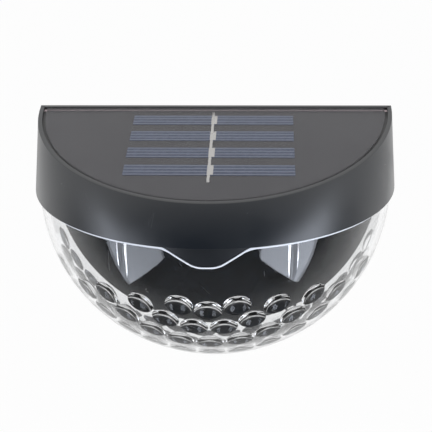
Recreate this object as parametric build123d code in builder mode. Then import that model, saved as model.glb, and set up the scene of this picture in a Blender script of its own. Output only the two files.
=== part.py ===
from build123d import *
import os
from math import asin, atan2, cos, pi, radians, sin, sqrt, tan

# A half-moon fence light: a black band with a sloped solar panel on top, and below it a clear
# quarter-ball lens with rows of pillow bumps inside, closed at the back by a flat black plate.
# Millimetres, +Z up. The wall is the plane Y = 0 and the light stands out towards -Y. The origin
# is on the wall, in the middle of the seam between the band and the lens.

os.makedirs("parts", exist_ok=True)

# ---------------------------------------------------------------- driving dimensions

# Band and sloped top
band_radius = 60.0        # half circle of the band at the seam
band_straight = 4.4       # straight run of its sides, next to the wall
rim_draw_in = 1.5         # the rim's half circle is this much smaller
top_straight = 1.0        # straight run of the rim's sides
front_height = 11.7       # band height at the front
top_slope = 12.7          # fall of the top towards the front, in degrees
housing_wall = 2.0
deck_thickness = 1.6      # floor under the solar panel

# Solar panel, laid in a recess inside the rim
rim_width = 1.4
panel_gap = 0.95          # groove between rim and panel, half filled with sealant
panel_drop = 0.25         # panel face below the rim
film_thickness = 0.75
panel_board_thickness = 1.2
sealant_drop = 0.9        # sealant below the rim
cell_count = 4
cell_length = 52.3
cell_width = 5.9
cell_pitch = 10.35
cell_thickness = 0.2
first_cell = 8.7          # back edge of the rim to the middle of the first strip
cell_shift = -0.15        # strips sit a little left of the middle
ribbon_width = 1.0
ribbon_thickness = 0.1
bus_width = 1.9           # silver bus bar under the ribbon
bus_shift = 0.4
ribbon_overrun_back = 2.2
ribbon_overrun_front = 4.1
film_gap = 0.05           # film around the strips and the ribbon

# Lens
lens_inset = 1.4          # step from the band in to the lens
lens_wall = 2.0
lip_height = 1.2          # thin edge that plugs into the band
lip_fit = 0.25
bump_radius = 4.25        # footprint of one pillow bump
bump_ball = 7.0           # radius of its surface
bump_pitch = 9.1          # spacing along a ring
bump_root = 0.08          # how far a bump's round face runs on into the wall
bump_ring_tilts = (23.5, 32.1, 42.2, 53.0, 63.6, 74.0, 84.2)   # rings about the front pole
bump_ring_half_steps = (0, 1, 0, 0, 1, 0, 1)                   # 1 turns a ring by half a bump
bump_top = -18.5          # no bump is centred above this height
rib_radius = 1.6
rib_spread = 25.2         # ribs left and right of the middle
rib_length = 14.0
rib_bite = 1.35           # how far the rib's axis stands off the outer wall's inside

# Tongue of the band, in a notch of the lens
tongue_half_width = 12.7
tongue_depth = 6.0
tongue_tip = 3.2          # half width of its lower edge
tongue_round = 6.0        # its two lower corners
tongue_shoulder = 8.0     # the hollow rounds where it leaves the seam
tongue_gap = 0.3

# Back plate with two keyholes
plate_thickness = 2.0
plate_fit = 0.15
plate_edge_fit = 0.25
keyhole_spread = 35.0
keyhole_height = 8.1      # entry hole above the seam
keyhole_entry = 4.0       # radius
keyhole_slot = 2.1        # half width
keyhole_travel = 5.0
keyhole_depth = 4.0       # room behind the plate for the screw head
keyhole_wall = 1.0

# Tray that carries the light board
tray_thickness = 1.6
tray_fit = 0.3
led_count = 6
led_margin = 7.5          # end of the board to the middle of the last light
led_row = 35.0            # distance from the wall
led_length = 3.5
led_width = 2.8
led_height = 0.8
opening_low = 4.0         # cone radii around each light
opening_high = 2.7
board_end_gap = 4.58      # board's front corners to the band's wall
board_width = 13.0
board_thickness = 1.6
standoff_height = 1.0
standoff_radius = 2.6
standoff_gap = 0.1        # to the lights' row
board_screw_spread = 26.0

# Battery and its cradle
battery_radius = 5.1
battery_length = 43.3
nub_radius = 2.75
nub_length = 1.2
cradle_floor = 1.2
cradle_side = 1.5
cradle_fit = 0.2
cradle_rim = 8.8          # wall height
cradle_centre = -14.0     # along X
cradle_row = 20.0         # distance from the wall
spring_room = 3.3
contact_thickness = 0.4
contact_width = 6.0
contact_height = 6.4

# Switch in the back plate
switch_x = 18.0
switch_height = 9.4
switch_size = 8.0
switch_depth = 6.0
switch_front = 4.6        # distance from the wall to the switch body
button_radius = 3.0
button_drop = 0.6         # button face below the plate's outer face
button_head = 2.4
stem_radius = 1.5
stem_length = 3.0
button_travel = 1.2
button_fit = 0.3
seal_radius = 5.0
seal_thickness = 0.8
collar_wall = 1.2

# Screws
screw_radius = 1.1
screw_fit = 0.05
screw_head_radius = 2.2
screw_head_height = 1.5
screw_clearance = 1.4     # radius of a clearance hole
boss_radius = 2.8
well_radius = 2.5         # well in the back plate that takes a screw's head
well_depth = 1.8
well_wall = 1.2
tray_screw_spots = ((-46.0, -16.0), (46.0, -16.0), (-24.0, -46.0), (24.0, -46.0))
tray_screw_length = 7.0
back_screw_spots = ((-49.5, 11.0), (0.0, 15.0), (49.5, 11.0))
back_screw_length = 8.0
back_boss_length = 8.5
board_screw_length = 3.9
bite = 0.4                # how far a boss roots in the wall that carries it

# Leads
lead_radius = 0.6
lead_spread = 1.2         # panel leads left and right of the middle
lead_bend = 1.5
lead_hole = 3.0

# ---------------------------------------------------------------- derived places

top_radius = band_radius - rim_draw_in
top_back = front_height + (top_straight + top_radius) * sin(radians(top_slope))
top_plane = Plane(
    origin=(0, 0, top_back),
    x_dir=(1, 0, 0),
    z_dir=(0, -sin(radians(top_slope)), cos(radians(top_slope))),
)
board_top_depth = panel_drop + film_thickness
recess_depth = board_top_depth + panel_board_thickness
deck_depth = recess_depth + deck_thickness
lens_radius = band_radius - lens_inset
lens_inner = lens_radius - lens_wall
tray_bottom = lip_height
tray_top = tray_bottom + tray_thickness
board_bottom = tray_top + standoff_height
board_top = board_bottom + board_thickness
panel_inset = rim_width + panel_gap
well_end = well_depth + well_wall
tongue_lean = atan2(tongue_depth, tongue_half_width - tongue_tip)
tongue_reach = tongue_half_width + tongue_shoulder / 2
board_front = led_row + board_width / 2
board_reach = sqrt((band_radius - housing_wall) ** 2 - (board_front - band_straight) ** 2)
board_length = 2 * (board_reach - board_end_gap)
led_pitch = (board_length - 2 * led_margin) / (led_count - 1)
board_screw_row = led_row - led_width / 2 - standoff_radius - standoff_gap


def slope_height(distance, depth):
    """Height of the plane that lies a depth under the sloped top, at a distance from the wall."""
    return top_back - distance * tan(radians(top_slope)) - depth / cos(radians(top_slope))


lead_hole_spot = (0, -led_row / cos(radians(top_slope)) + deck_depth * tan(radians(top_slope)))

# ---------------------------------------------------------------- shared forms


def half_moon(radius, straight):
    """Half disc with its flat side on local y = 0 and its round side towards -y."""
    with BuildSketch(Plane.XY) as outline:
        with BuildLine():
            Polyline((-radius, -straight), (-radius, 0), (radius, 0), (radius, -straight))
            ThreePointArc((radius, -straight), (0, -straight - radius), (-radius, -straight))
        make_face()
    return outline.sketch


def rim_outline(inset):
    """The rim's outline in the sloped plane, drawn in on all sides, the flat side too."""
    with BuildSketch(Plane.XY) as outline:
        add(half_moon(top_radius - inset, top_straight))
        with Locations((0, -inset)):
            Rectangle(3 * top_radius, top_radius, align=(Align.CENTER, Align.MIN), mode=Mode.SUBTRACT)
    return outline.sketch


def band_block(inset):
    """The tapered block between the seam and the sloped top, drawn in by an inset."""
    with BuildPart() as block:
        with BuildSketch(Plane.XY):
            add(half_moon(band_radius - inset, band_straight))
        with BuildSketch(top_plane):
            add(half_moon(top_radius - inset, top_straight))
        loft(ruled=True)
    return block.part


def inner_block(growth):
    """The room inside the band, under the deck, grown into the walls around it."""
    with BuildPart() as block:
        add(band_block(housing_wall - growth))
        split(bisect_by=top_plane.offset(growth - deck_depth), keep=Keep.BOTTOM)
    return block.part


def dome(radius):
    """Quarter ball with a short straight run to the wall, below the seam plane."""
    diagonal = radius * sqrt(0.5)
    with BuildPart() as form:
        with BuildSketch(Plane.XY):
            with BuildLine():
                Polyline((0, -band_straight - radius), (0, 0), (radius, 0), (radius, -band_straight))
                ThreePointArc(
                    (radius, -band_straight),
                    (diagonal, -band_straight - diagonal),
                    (0, -band_straight - radius),
                )
            make_face()
        revolve(axis=Axis.Y, revolution_arc=180)
    return form.part


def tongue_outline(gap):
    """The tongue seen from the front, with a gap around it that closes along the seam."""
    top = lip_height + gap
    low = -tongue_depth - gap
    tip = tongue_tip + gap * tan(tongue_lean / 2)
    foot = tip - low / tan(tongue_lean)
    reach = tongue_reach + gap
    with BuildSketch(Plane.XY) as outline:
        with BuildLine():
            Polyline(
                (-reach, top),
                (-reach, 0),
                (-foot, 0),
                (-tip, low),
                (tip, low),
                (foot, 0),
                (reach, 0),
                (reach, top),
                close=True,
            )
        make_face()
        fillet(outline.vertices().group_by(Axis.Y)[0], radius=tongue_round + gap)
        seam = outline.vertices().group_by(Axis.Y)[-2]
        fillet(seam.sort_by(lambda corner: abs(corner.X))[:2], radius=tongue_shoulder - gap)
    return outline.sketch


def screw(spot, direction, length):
    """Pan-head screw: the head's underside is at the spot and the shank runs along the direction."""
    with BuildPart() as body:
        with BuildSketch(Plane(origin=spot, z_dir=direction)):
            Circle(screw_radius)
        extrude(amount=length)
        with BuildSketch(Plane(origin=spot, z_dir=direction)):
            Circle(screw_head_radius)
        extrude(amount=-screw_head_height)
        crown = body.edges().filter_by(GeomType.CIRCLE).sort_by(SortBy.RADIUS)[-2:]
        outward = Vector(*direction)
        fillet(crown.sort_by(lambda edge: edge.center().dot(outward))[0], radius=screw_head_height / 2)
    return body.part


def lead(*points):
    """A wire of constant thickness along straight runs with rounded corners."""
    with BuildPart() as wire:
        with BuildLine() as route:
            FilletPolyline(*points, radius=lead_bend)
        with BuildSketch(Plane(origin=route.line @ 0, z_dir=route.line % 0)):
            Circle(lead_radius)
        sweep()
    return wire.part


# ---------------------------------------------------------------- top housing

with BuildPart() as bosses:
    with Locations(*[(x, y, tray_top) for x, y in tray_screw_spots]):
        Cylinder(boss_radius, top_back, align=(Align.CENTER, Align.CENTER, Align.MIN))
    with BuildSketch(Plane.XZ.offset(well_end)):
        with Locations(*back_screw_spots):
            Circle(boss_radius)
            Rectangle(2 * boss_radius, top_back, align=(Align.CENTER, Align.MIN))
    extrude(amount=back_boss_length)
    add(inner_block(bite), mode=Mode.INTERSECT)

with BuildPart() as tongue:
    add(dome(lens_radius))
    add(dome(lens_inner), mode=Mode.SUBTRACT)
    with BuildSketch(Plane.XZ.offset(band_radius / 2)):
        add(tongue_outline(0))
    extrude(amount=band_radius, mode=Mode.INTERSECT)

with BuildPart() as tongue_root:
    add(band_block(housing_wall - bite))
    split(bisect_by=Plane.XY.offset(lip_height), keep=Keep.BOTTOM)
    with BuildSketch(Plane.XY):
        add(half_moon(lens_inner, band_straight))
    extrude(amount=lip_height, mode=Mode.SUBTRACT)
    with BuildSketch(Plane.XZ.offset(band_radius / 2)):
        Rectangle(2 * tongue_reach, 2 * lip_height)
    extrude(amount=band_radius, mode=Mode.INTERSECT)

with BuildPart() as top_housing:
    add(band_block(0))
    add(inner_block(0), mode=Mode.SUBTRACT)
    with BuildSketch(top_plane):
        add(rim_outline(rim_width))
    extrude(amount=-recess_depth, mode=Mode.SUBTRACT)
    add(bosses.part)
    add(tongue_root.part)
    add(tongue.part)
    with Locations(*[(x, y, tray_top) for x, y in tray_screw_spots]):
        Cylinder(
            screw_radius + screw_fit,
            tray_screw_length,
            align=(Align.CENTER, Align.CENTER, Align.MIN),
            mode=Mode.SUBTRACT,
        )
    with BuildSketch(Plane.XZ.offset(well_end)):
        with Locations(*back_screw_spots):
            Circle(screw_radius + screw_fit)
    extrude(amount=back_screw_length, mode=Mode.SUBTRACT)
    with BuildSketch(top_plane.offset(-deck_depth)):
        with Locations(lead_hole_spot):
            Circle(lead_hole)
    extrude(amount=deck_thickness, mode=Mode.SUBTRACT)
top_housing.part.label = "top_housing"
export_step(top_housing.part, "parts/top_housing.step")

# ---------------------------------------------------------------- solar panel

with BuildPart() as panel_board:
    with BuildSketch(top_plane.offset(-recess_depth)):
        add(rim_outline(panel_inset))
    extrude(amount=panel_board_thickness)
panel_board.part.label = "panel_board"
export_step(panel_board.part, "parts/panel_board.step")

cell_rows = [-(first_cell + k * cell_pitch) for k in range(cell_count)]
ribbon_back = cell_rows[0] + cell_width / 2 + ribbon_overrun_back
ribbon_front = cell_rows[-1] - cell_width / 2 - ribbon_overrun_front
cell_plane = top_plane.offset(-board_top_depth)


def cell_outlines(gap):
    """The silicon strips' outlines, with a gap around them."""
    with BuildSketch(Plane.XY) as outline:
        with Locations(*[(cell_shift, row) for row in cell_rows]):
            Rectangle(cell_length + 2 * gap, cell_width + 2 * gap)
    return outline.sketch


def ribbon_outline(gap):
    """The ribbon from back to front, widened by the bus bar on each strip."""
    with BuildSketch(Plane.XY) as outline:
        with Locations((cell_shift, (ribbon_back + ribbon_front) / 2)):
            Rectangle(ribbon_width + 2 * gap, ribbon_back - ribbon_front + 2 * gap)
        with Locations(*[(cell_shift + bus_shift, row) for row in cell_rows]):
            Rectangle(bus_width + 2 * gap, cell_width - 2 * cell_thickness + 2 * gap)
    return outline.sketch


with BuildPart() as solar_cells:
    with BuildSketch(cell_plane):
        add(cell_outlines(0))
    extrude(amount=cell_thickness)
solar_cells.part.label = "solar_cells"
export_step(solar_cells.part, "parts/solar_cells.step")

with BuildPart() as cell_ribbon:
    with BuildSketch(cell_plane.offset(cell_thickness)):
        add(ribbon_outline(0))
    extrude(amount=ribbon_thickness)
cell_ribbon.part.label = "cell_ribbon"
export_step(cell_ribbon.part, "parts/cell_ribbon.step")

with BuildPart() as panel_film:
    with BuildSketch(cell_plane):
        add(rim_outline(panel_inset))
    extrude(amount=film_thickness)
    with BuildSketch(cell_plane):
        add(cell_outlines(film_gap))
    extrude(amount=cell_thickness + film_gap, mode=Mode.SUBTRACT)
    with BuildSketch(cell_plane):
        add(ribbon_outline(film_gap))
    extrude(amount=cell_thickness + ribbon_thickness + film_gap, mode=Mode.SUBTRACT)
panel_film.part.label = "panel_film"
export_step(panel_film.part, "parts/panel_film.step")

with BuildPart() as panel_sealant:
    with BuildSketch(top_plane.offset(-recess_depth)):
        add(rim_outline(rim_width))
        add(rim_outline(panel_inset), mode=Mode.SUBTRACT)
    extrude(amount=recess_depth - sealant_drop)
panel_sealant.part.label = "panel_sealant"
export_step(panel_sealant.part, "parts/panel_sealant.step")

# ---------------------------------------------------------------- lens

lens_centre = Vector(0, -band_straight, 0)
bump_seat = sqrt(lens_inner**2 - bump_radius**2)
bump_centre = bump_seat + sqrt(bump_ball**2 - bump_radius**2)
bump_edge = bump_seat + bump_root
bump_edge_radius = sqrt(bump_ball**2 - (bump_centre - bump_edge) ** 2)
bump_half_turn = asin(bump_edge_radius / bump_ball) / 2


def bump_places():
    """Where the bumps stand: in rings about the lens's front pole, below the smooth part."""
    places = []
    for tilt, half_step in zip(bump_ring_tilts, bump_ring_half_steps):
        ring_radius = lens_inner * sin(radians(tilt))
        count = round(2 * pi * ring_radius / bump_pitch)
        for k in range(count):
            turn = 2 * pi * (k + half_step / 2) / count
            if -ring_radius * cos(turn) < bump_top:
                sideways = sin(radians(tilt)) * sin(turn)
                downwards = sin(radians(tilt)) * cos(turn)
                away = Vector(sideways, -cos(radians(tilt)), -downwards)
                places.append(Plane(origin=lens_centre, z_dir=away).location)
    return places


# One bump, drawn about the lens's centre: a ball's cap facing in, on a cone rooted in the wall.
with BuildPart() as bump:
    with BuildSketch(Plane.XZ):
        with BuildLine():
            ThreePointArc(
                (0, bump_centre - bump_ball),
                (bump_ball * sin(bump_half_turn), bump_centre - bump_ball * cos(bump_half_turn)),
                (bump_edge_radius, bump_edge),
            )
            Polyline(
                (bump_edge_radius, bump_edge),
                (0, lens_inner + lens_wall / 2),
                (0, bump_centre - bump_ball),
            )
        make_face()
    revolve(axis=Axis.Z)

with BuildPart() as lens_lip:
    add(band_block(housing_wall + lip_fit))
    split(bisect_by=Plane.XY.offset(lip_height), keep=Keep.BOTTOM)
    with BuildSketch(Plane.XY):
        add(half_moon(lens_inner, band_straight))
    extrude(amount=lip_height, mode=Mode.SUBTRACT)

rib_row = band_straight + sqrt(lens_inner**2 - rib_spread**2) + rib_bite - rib_radius

# The ribs stand upright, so they run out where the wall curves in towards them.
with BuildPart() as ribs:
    with Locations((-rib_spread, -rib_row, 0), (rib_spread, -rib_row, 0)):
        Cylinder(rib_radius, rib_length, align=(Align.CENTER, Align.CENTER, Align.MAX))
    add(dome(lens_inner + lens_wall / 2), mode=Mode.INTERSECT)

with BuildPart() as lens:
    add(dome(lens_radius))
    add(dome(lens_inner), mode=Mode.SUBTRACT)
    with Locations(*bump_places()):
        add(bump.part)
    add(ribs.part)
    add(lens_lip.part)
    with BuildSketch(Plane.XZ.offset(band_radius / 2)):
        add(tongue_outline(tongue_gap))
    extrude(amount=band_radius, mode=Mode.SUBTRACT)
lens.part.label = "lens"
export_step(lens.part, "parts/lens.step")

# ---------------------------------------------------------------- back plate

plate_radius = lens_inner - plate_fit
shoulder_height = lip_height + plate_edge_fit
plate_top = slope_height(plate_thickness, deck_depth) - plate_edge_fit


def room_half_width(height):
    """Half width of the room inside the band at the wall, at a height above the seam."""
    taper = (band_radius - top_radius) / top_back
    return band_radius - housing_wall - taper * height


keyholes = [(-keyhole_spread, keyhole_height), (keyhole_spread, keyhole_height)]


def keyhole_outline(entry, slot):
    """Entry circle with a slot running up from it to a round end."""
    with BuildSketch(Plane.XY) as outline:
        Circle(entry)
        with Locations((0, keyhole_travel / 2)):
            Rectangle(2 * slot, keyhole_travel)
        with Locations((0, keyhole_travel)):
            Circle(slot)
    return outline.sketch


with BuildPart() as back_plate:
    with BuildSketch(Plane.XZ):
        with BuildLine():
            Polyline(
                (-plate_radius, 0),
                (-plate_radius, shoulder_height),
                (plate_edge_fit - room_half_width(shoulder_height), shoulder_height),
                (plate_edge_fit - room_half_width(plate_top), plate_top),
                (room_half_width(plate_top) - plate_edge_fit, plate_top),
                (room_half_width(shoulder_height) - plate_edge_fit, shoulder_height),
                (plate_radius, shoulder_height),
                (plate_radius, 0),
            )
            ThreePointArc((plate_radius, 0), (0, -plate_radius), (-plate_radius, 0))
        make_face()
    extrude(amount=plate_thickness)
    with BuildSketch(Plane.XZ.offset(plate_thickness)):
        with Locations(*keyholes):
            add(keyhole_outline(keyhole_entry + keyhole_wall, keyhole_entry + keyhole_wall))
    extrude(amount=keyhole_depth + keyhole_wall)
    with BuildSketch(Plane.XZ.offset(plate_thickness)):
        with Locations(*keyholes):
            add(keyhole_outline(keyhole_entry, keyhole_entry))
    extrude(amount=keyhole_depth, mode=Mode.SUBTRACT)
    with BuildSketch(Plane.XZ):
        with Locations(*keyholes):
            add(keyhole_outline(keyhole_entry, keyhole_slot))
    extrude(amount=plate_thickness, mode=Mode.SUBTRACT)
    with BuildSketch(Plane.XZ.offset(plate_thickness)):
        with Locations((switch_x, switch_height)):
            Circle(button_radius + button_fit + collar_wall)
    extrude(amount=collar_wall)
    with BuildSketch(Plane.XZ.offset(plate_thickness)):
        for side in (-1, 1):
            with Locations((switch_x + side * (switch_size / 2 + collar_wall / 2), switch_height)):
                Rectangle(collar_wall, switch_size)
    extrude(amount=switch_front - plate_thickness + switch_depth)
    with BuildSketch(Plane.XZ):
        with Locations((switch_x, switch_height)):
            Circle(button_radius + button_fit)
    extrude(amount=plate_thickness + collar_wall, mode=Mode.SUBTRACT)
    with BuildSketch(Plane.XZ):
        with Locations((switch_x, switch_height)):
            Circle(seal_radius)
    extrude(amount=seal_thickness, mode=Mode.SUBTRACT)
    with BuildSketch(Plane.XZ.offset(plate_thickness)):
        with Locations(*back_screw_spots):
            Circle(well_radius + well_wall)
    extrude(amount=well_end - plate_thickness)
    with BuildSketch(Plane.XZ):
        with Locations(*back_screw_spots):
            Circle(well_radius)
    extrude(amount=well_depth, mode=Mode.SUBTRACT)
    with BuildSketch(Plane.XZ):
        with Locations(*back_screw_spots):
            Circle(screw_clearance)
    extrude(amount=well_end, mode=Mode.SUBTRACT)
back_plate.part.label = "back_plate"
export_step(back_plate.part, "parts/back_plate.step")

with BuildPart() as back_screws:
    for x, z in back_screw_spots:
        add(screw((x, -well_depth, z), (0, -1, 0), back_screw_length))
back_screws.part.label = "back_screws"
export_step(back_screws.part, "parts/back_screws.step")

# ---------------------------------------------------------------- switch

with BuildPart() as button_seal:
    with BuildSketch(Plane.XZ):
        with Locations((switch_x, switch_height)):
            Circle(seal_radius)
            Circle(button_radius + button_fit, mode=Mode.SUBTRACT)
    extrude(amount=seal_thickness)
button_seal.part.label = "button_seal"
export_step(button_seal.part, "parts/button_seal.step")

with BuildPart() as switch_button:
    with BuildSketch(Plane.XZ.offset(button_drop)):
        with Locations((switch_x, switch_height)):
            Circle(button_radius)
    extrude(amount=button_head)
    with BuildSketch(Plane.XZ.offset(button_drop + button_head)):
        with Locations((switch_x, switch_height)):
            Circle(stem_radius)
    extrude(amount=stem_length)
    fillet(switch_button.edges().group_by(Axis.Y)[-1], radius=button_drop)
switch_button.part.label = "switch_button"
export_step(switch_button.part, "parts/switch_button.step")

stem_end = button_drop + button_head + stem_length
with BuildPart() as switch_body:
    with BuildSketch(Plane.XZ.offset(switch_front)):
        with Locations((switch_x, switch_height)):
            Rectangle(switch_size, switch_size)
    extrude(amount=switch_depth)
    with BuildSketch(Plane.XZ.offset(switch_front)):
        with Locations((switch_x, switch_height)):
            Circle(stem_radius + button_fit)
    extrude(amount=stem_end + button_travel + button_fit - switch_front, mode=Mode.SUBTRACT)
switch_body.part.label = "switch_body"
export_step(switch_body.part, "parts/switch_body.step")

# ---------------------------------------------------------------- tray, light board and lights

led_spots = [((k - (led_count - 1) / 2) * led_pitch, -led_row) for k in range(led_count)]
board_screw_spots = [(-board_screw_spread, -board_screw_row), (board_screw_spread, -board_screw_row)]

with BuildPart() as led_tray:
    add(band_block(housing_wall + tray_fit))
    split(bisect_by=Plane.XY.offset(tray_top), keep=Keep.BOTTOM)
    split(bisect_by=Plane.XY.offset(tray_bottom), keep=Keep.TOP)
    split(bisect_by=Plane.XZ.offset(plate_thickness + tray_fit), keep=Keep.TOP)
    with BuildSketch(Plane.XY.offset(tray_top)):
        with Locations(*board_screw_spots):
            Circle(standoff_radius)
    extrude(amount=standoff_height)
    with Locations(*[(x, y, tray_bottom) for x, y in led_spots]):
        Cone(
            opening_low,
            opening_high,
            tray_thickness,
            align=(Align.CENTER, Align.CENTER, Align.MIN),
            mode=Mode.SUBTRACT,
        )
    with BuildSketch(Plane.XY.offset(tray_bottom)):
        with Locations(*tray_screw_spots):
            Circle(screw_clearance)
        with Locations(*board_screw_spots):
            Circle(screw_radius + screw_fit)
    extrude(amount=tray_thickness + standoff_height, mode=Mode.SUBTRACT)
led_tray.part.label = "led_tray"
export_step(led_tray.part, "parts/led_tray.step")

with BuildPart() as tray_screws:
    for x, y in tray_screw_spots:
        add(screw((x, y, tray_bottom), (0, 0, 1), tray_thickness + tray_screw_length))
tray_screws.part.label = "tray_screws"
export_step(tray_screws.part, "parts/tray_screws.step")

with BuildPart() as led_board:
    with BuildSketch(Plane.XY.offset(board_bottom)):
        with Locations((0, -led_row)):
            RectangleRounded(board_length, board_width, screw_radius)
        with Locations(*board_screw_spots):
            Circle(screw_clearance, mode=Mode.SUBTRACT)
    extrude(amount=board_thickness)
led_board.part.label = "led_board"
export_step(led_board.part, "parts/led_board.step")

with BuildPart() as leds:
    with BuildSketch(Plane.XY.offset(board_bottom)):
        with Locations(*led_spots):
            Rectangle(led_length, led_width)
    extrude(amount=-led_height)
leds.part.label = "leds"
export_step(leds.part, "parts/leds.step")

with BuildPart() as board_screws:
    for x, y in board_screw_spots:
        add(screw((x, y, board_top), (0, 0, -1), board_screw_length))
board_screws.part.label = "board_screws"
export_step(board_screws.part, "parts/board_screws.step")

# ---------------------------------------------------------------- parts on the board

chip_length = 4.9
chip_width = 3.9
chip_height = 1.5
chip_x = 10.0
coil_radius = 2.0
coil_length = 8.0
coil_x = -12.0
capacitor_radius = 2.5
capacitor_height = 5.0
capacitor_x = led_spots[-1][0]

with BuildPart() as driver_chip:
    with BuildSketch(Plane.XY.offset(board_top)):
        with Locations((chip_x, -led_row)):
            Rectangle(chip_length, chip_width)
    extrude(amount=chip_height)
driver_chip.part.label = "driver_chip"
export_step(driver_chip.part, "parts/driver_chip.step")

with BuildPart() as inductor:
    with BuildSketch(Plane.YZ.offset(coil_x - coil_length / 2)):
        with Locations((-led_row, board_top + coil_radius)):
            Circle(coil_radius)
    extrude(amount=coil_length)
    fillet(inductor.edges().filter_by(GeomType.CIRCLE), radius=coil_radius / 3)
inductor.part.label = "inductor"
export_step(inductor.part, "parts/inductor.step")

with BuildPart() as capacitor:
    with Locations((capacitor_x, -led_row, board_top)):
        Cylinder(capacitor_radius, capacitor_height, align=(Align.CENTER, Align.CENTER, Align.MIN))
    fillet(capacitor.edges().group_by(Axis.Z)[-1], radius=capacitor_radius / 6)
capacitor.part.label = "capacitor"
export_step(capacitor.part, "parts/capacitor.step")

# ---------------------------------------------------------------- battery

cell_end = cradle_centre - (battery_length + nub_length) / 2
trough_radius = battery_radius + cradle_fit
axis_height = tray_top + cradle_floor + trough_radius
inner_length = battery_length + nub_length + spring_room + 2 * contact_thickness
inner_start = cell_end - spring_room - contact_thickness
cradle_length = inner_length + 2 * cradle_side
cradle_width = 2 * (trough_radius + cradle_side)

with BuildPart() as battery_cradle:
    with Locations((inner_start - cradle_side, -cradle_row, tray_top)):
        Box(cradle_length, cradle_width, cradle_rim, align=(Align.MIN, Align.CENTER, Align.MIN))
    with BuildSketch(Plane.YZ.offset(inner_start)):
        with Locations((-cradle_row, axis_height)):
            Circle(trough_radius)
            Rectangle(2 * trough_radius, cradle_rim, align=(Align.CENTER, Align.MIN))
    extrude(amount=inner_length, mode=Mode.SUBTRACT)
battery_cradle.part.label = "battery_cradle"
export_step(battery_cradle.part, "parts/battery_cradle.step")

with BuildPart() as battery:
    with BuildSketch(Plane.YZ.offset(cell_end)):
        with Locations((-cradle_row, axis_height - cradle_fit)):
            Circle(battery_radius)
    extrude(amount=battery_length)
    fillet(battery.edges().filter_by(GeomType.CIRCLE), radius=cradle_fit * 2)
    with BuildSketch(Plane.YZ.offset(cell_end + battery_length)):
        with Locations((-cradle_row, axis_height - cradle_fit)):
            Circle(nub_radius)
    extrude(amount=nub_length)
battery.part.label = "battery"
export_step(battery.part, "parts/battery.step")

with BuildPart() as contact_plate:
    with Locations((inner_start + inner_length, -cradle_row, axis_height)):
        Box(contact_thickness, contact_width, contact_height, align=(Align.MAX, Align.CENTER, Align.CENTER))
contact_plate.part.label = "contact_plate"
export_step(contact_plate.part, "parts/contact_plate.step")

# A leaf of spring strip: up the end wall, over, and bowed against the battery.
leaf_low = axis_height - contact_height / 2
leaf_high = axis_height + contact_height / 2
leaf_back = inner_start + contact_thickness / 2
leaf_bow = cell_end - contact_thickness / 2
leaf_bend = 2 * contact_thickness
with BuildPart() as contact_spring:
    with BuildSketch(Plane.XZ.offset(cradle_row - contact_width / 2)):
        with BuildLine() as strip:
            FilletPolyline(
                (leaf_back, leaf_low),
                (leaf_back, leaf_high),
                (leaf_bow, axis_height),
                (leaf_back + leaf_bend, leaf_low),
                radius=leaf_bend,
            )
        trace(strip.line, contact_thickness)
    extrude(amount=contact_width)
contact_spring.part.label = "contact_spring"
export_step(contact_spring.part, "parts/contact_spring.step")

# ---------------------------------------------------------------- leads

panel_underside = slope_height(led_row, recess_depth) - lead_radius * tan(radians(top_slope))
pad_row = led_row - board_width / 2 + 2 * lead_radius
lead_jog = 2.0

with BuildPart() as lead_plug:
    with BuildSketch(top_plane.offset(-deck_depth)):
        with Locations(lead_hole_spot):
            Circle(lead_hole)
    extrude(amount=deck_thickness)
    with BuildSketch(Plane.XY):
        with Locations((-lead_spread, -led_row), (lead_spread, -led_row)):
            Circle(lead_radius)
    extrude(amount=top_back, mode=Mode.SUBTRACT)
lead_plug.part.label = "lead_plug"
export_step(lead_plug.part, "parts/lead_plug.step")


def panel_lead(side):
    """From the panel's underside through the plug and down to the board."""
    near = side * lead_spread
    far = side * (lead_spread + lead_jog)
    plug_exit = slope_height(led_row, deck_depth) - lead_bend
    return lead(
        (near, -led_row, panel_underside),
        (near, -led_row, plug_exit),
        (far, -led_row, (plug_exit + board_top) / 2),
        (far, -led_row, board_top),
    )


def battery_lead(contact_x, contact_top, side):
    """From a contact's upper edge, forward between the cradle's front wall and the deck."""
    passing = cradle_row + cradle_width / 2 + 2 * lead_radius
    over_wall = (slope_height(passing, deck_depth) + tray_top + cradle_rim) / 2
    landing = side * (board_length / 2 - 3 * lead_radius)
    return lead(
        (contact_x, -cradle_row, contact_top + lead_radius),
        (contact_x, -passing, over_wall),
        (landing, -pad_row, board_top + 3 * lead_bend),
        (landing, -pad_row, board_top),
    )


def switch_lead(side):
    """From the back of the switch straight forward, then down to the board."""
    x = switch_x + side * switch_size / 4
    return lead(
        (x, -switch_front - switch_depth, switch_height),
        (x, -pad_row, switch_height),
        (x, -pad_row, board_top),
    )


with BuildPart() as panel_lead_red:
    add(panel_lead(-1))
panel_lead_red.part.label = "panel_lead_red"
export_step(panel_lead_red.part, "parts/panel_lead_red.step")

with BuildPart() as panel_lead_black:
    add(panel_lead(1))
panel_lead_black.part.label = "panel_lead_black"
export_step(panel_lead_black.part, "parts/panel_lead_black.step")

with BuildPart() as battery_lead_red:
    plate_middle = inner_start + inner_length - contact_thickness / 2
    add(battery_lead(plate_middle, axis_height + contact_height / 2, 1))
battery_lead_red.part.label = "battery_lead_red"
export_step(battery_lead_red.part, "parts/battery_lead_red.step")

with BuildPart() as battery_lead_black:
    leaf_top = contact_spring.part.bounding_box().max.Z
    add(battery_lead(leaf_back + leaf_bend, leaf_top, -1))
battery_lead_black.part.label = "battery_lead_black"
export_step(battery_lead_black.part, "parts/battery_lead_black.step")

with BuildPart() as switch_leads:
    add(switch_lead(-1))
    add(switch_lead(1))
switch_leads.part.label = "switch_leads"
export_step(switch_leads.part, "parts/switch_leads.step")
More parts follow.
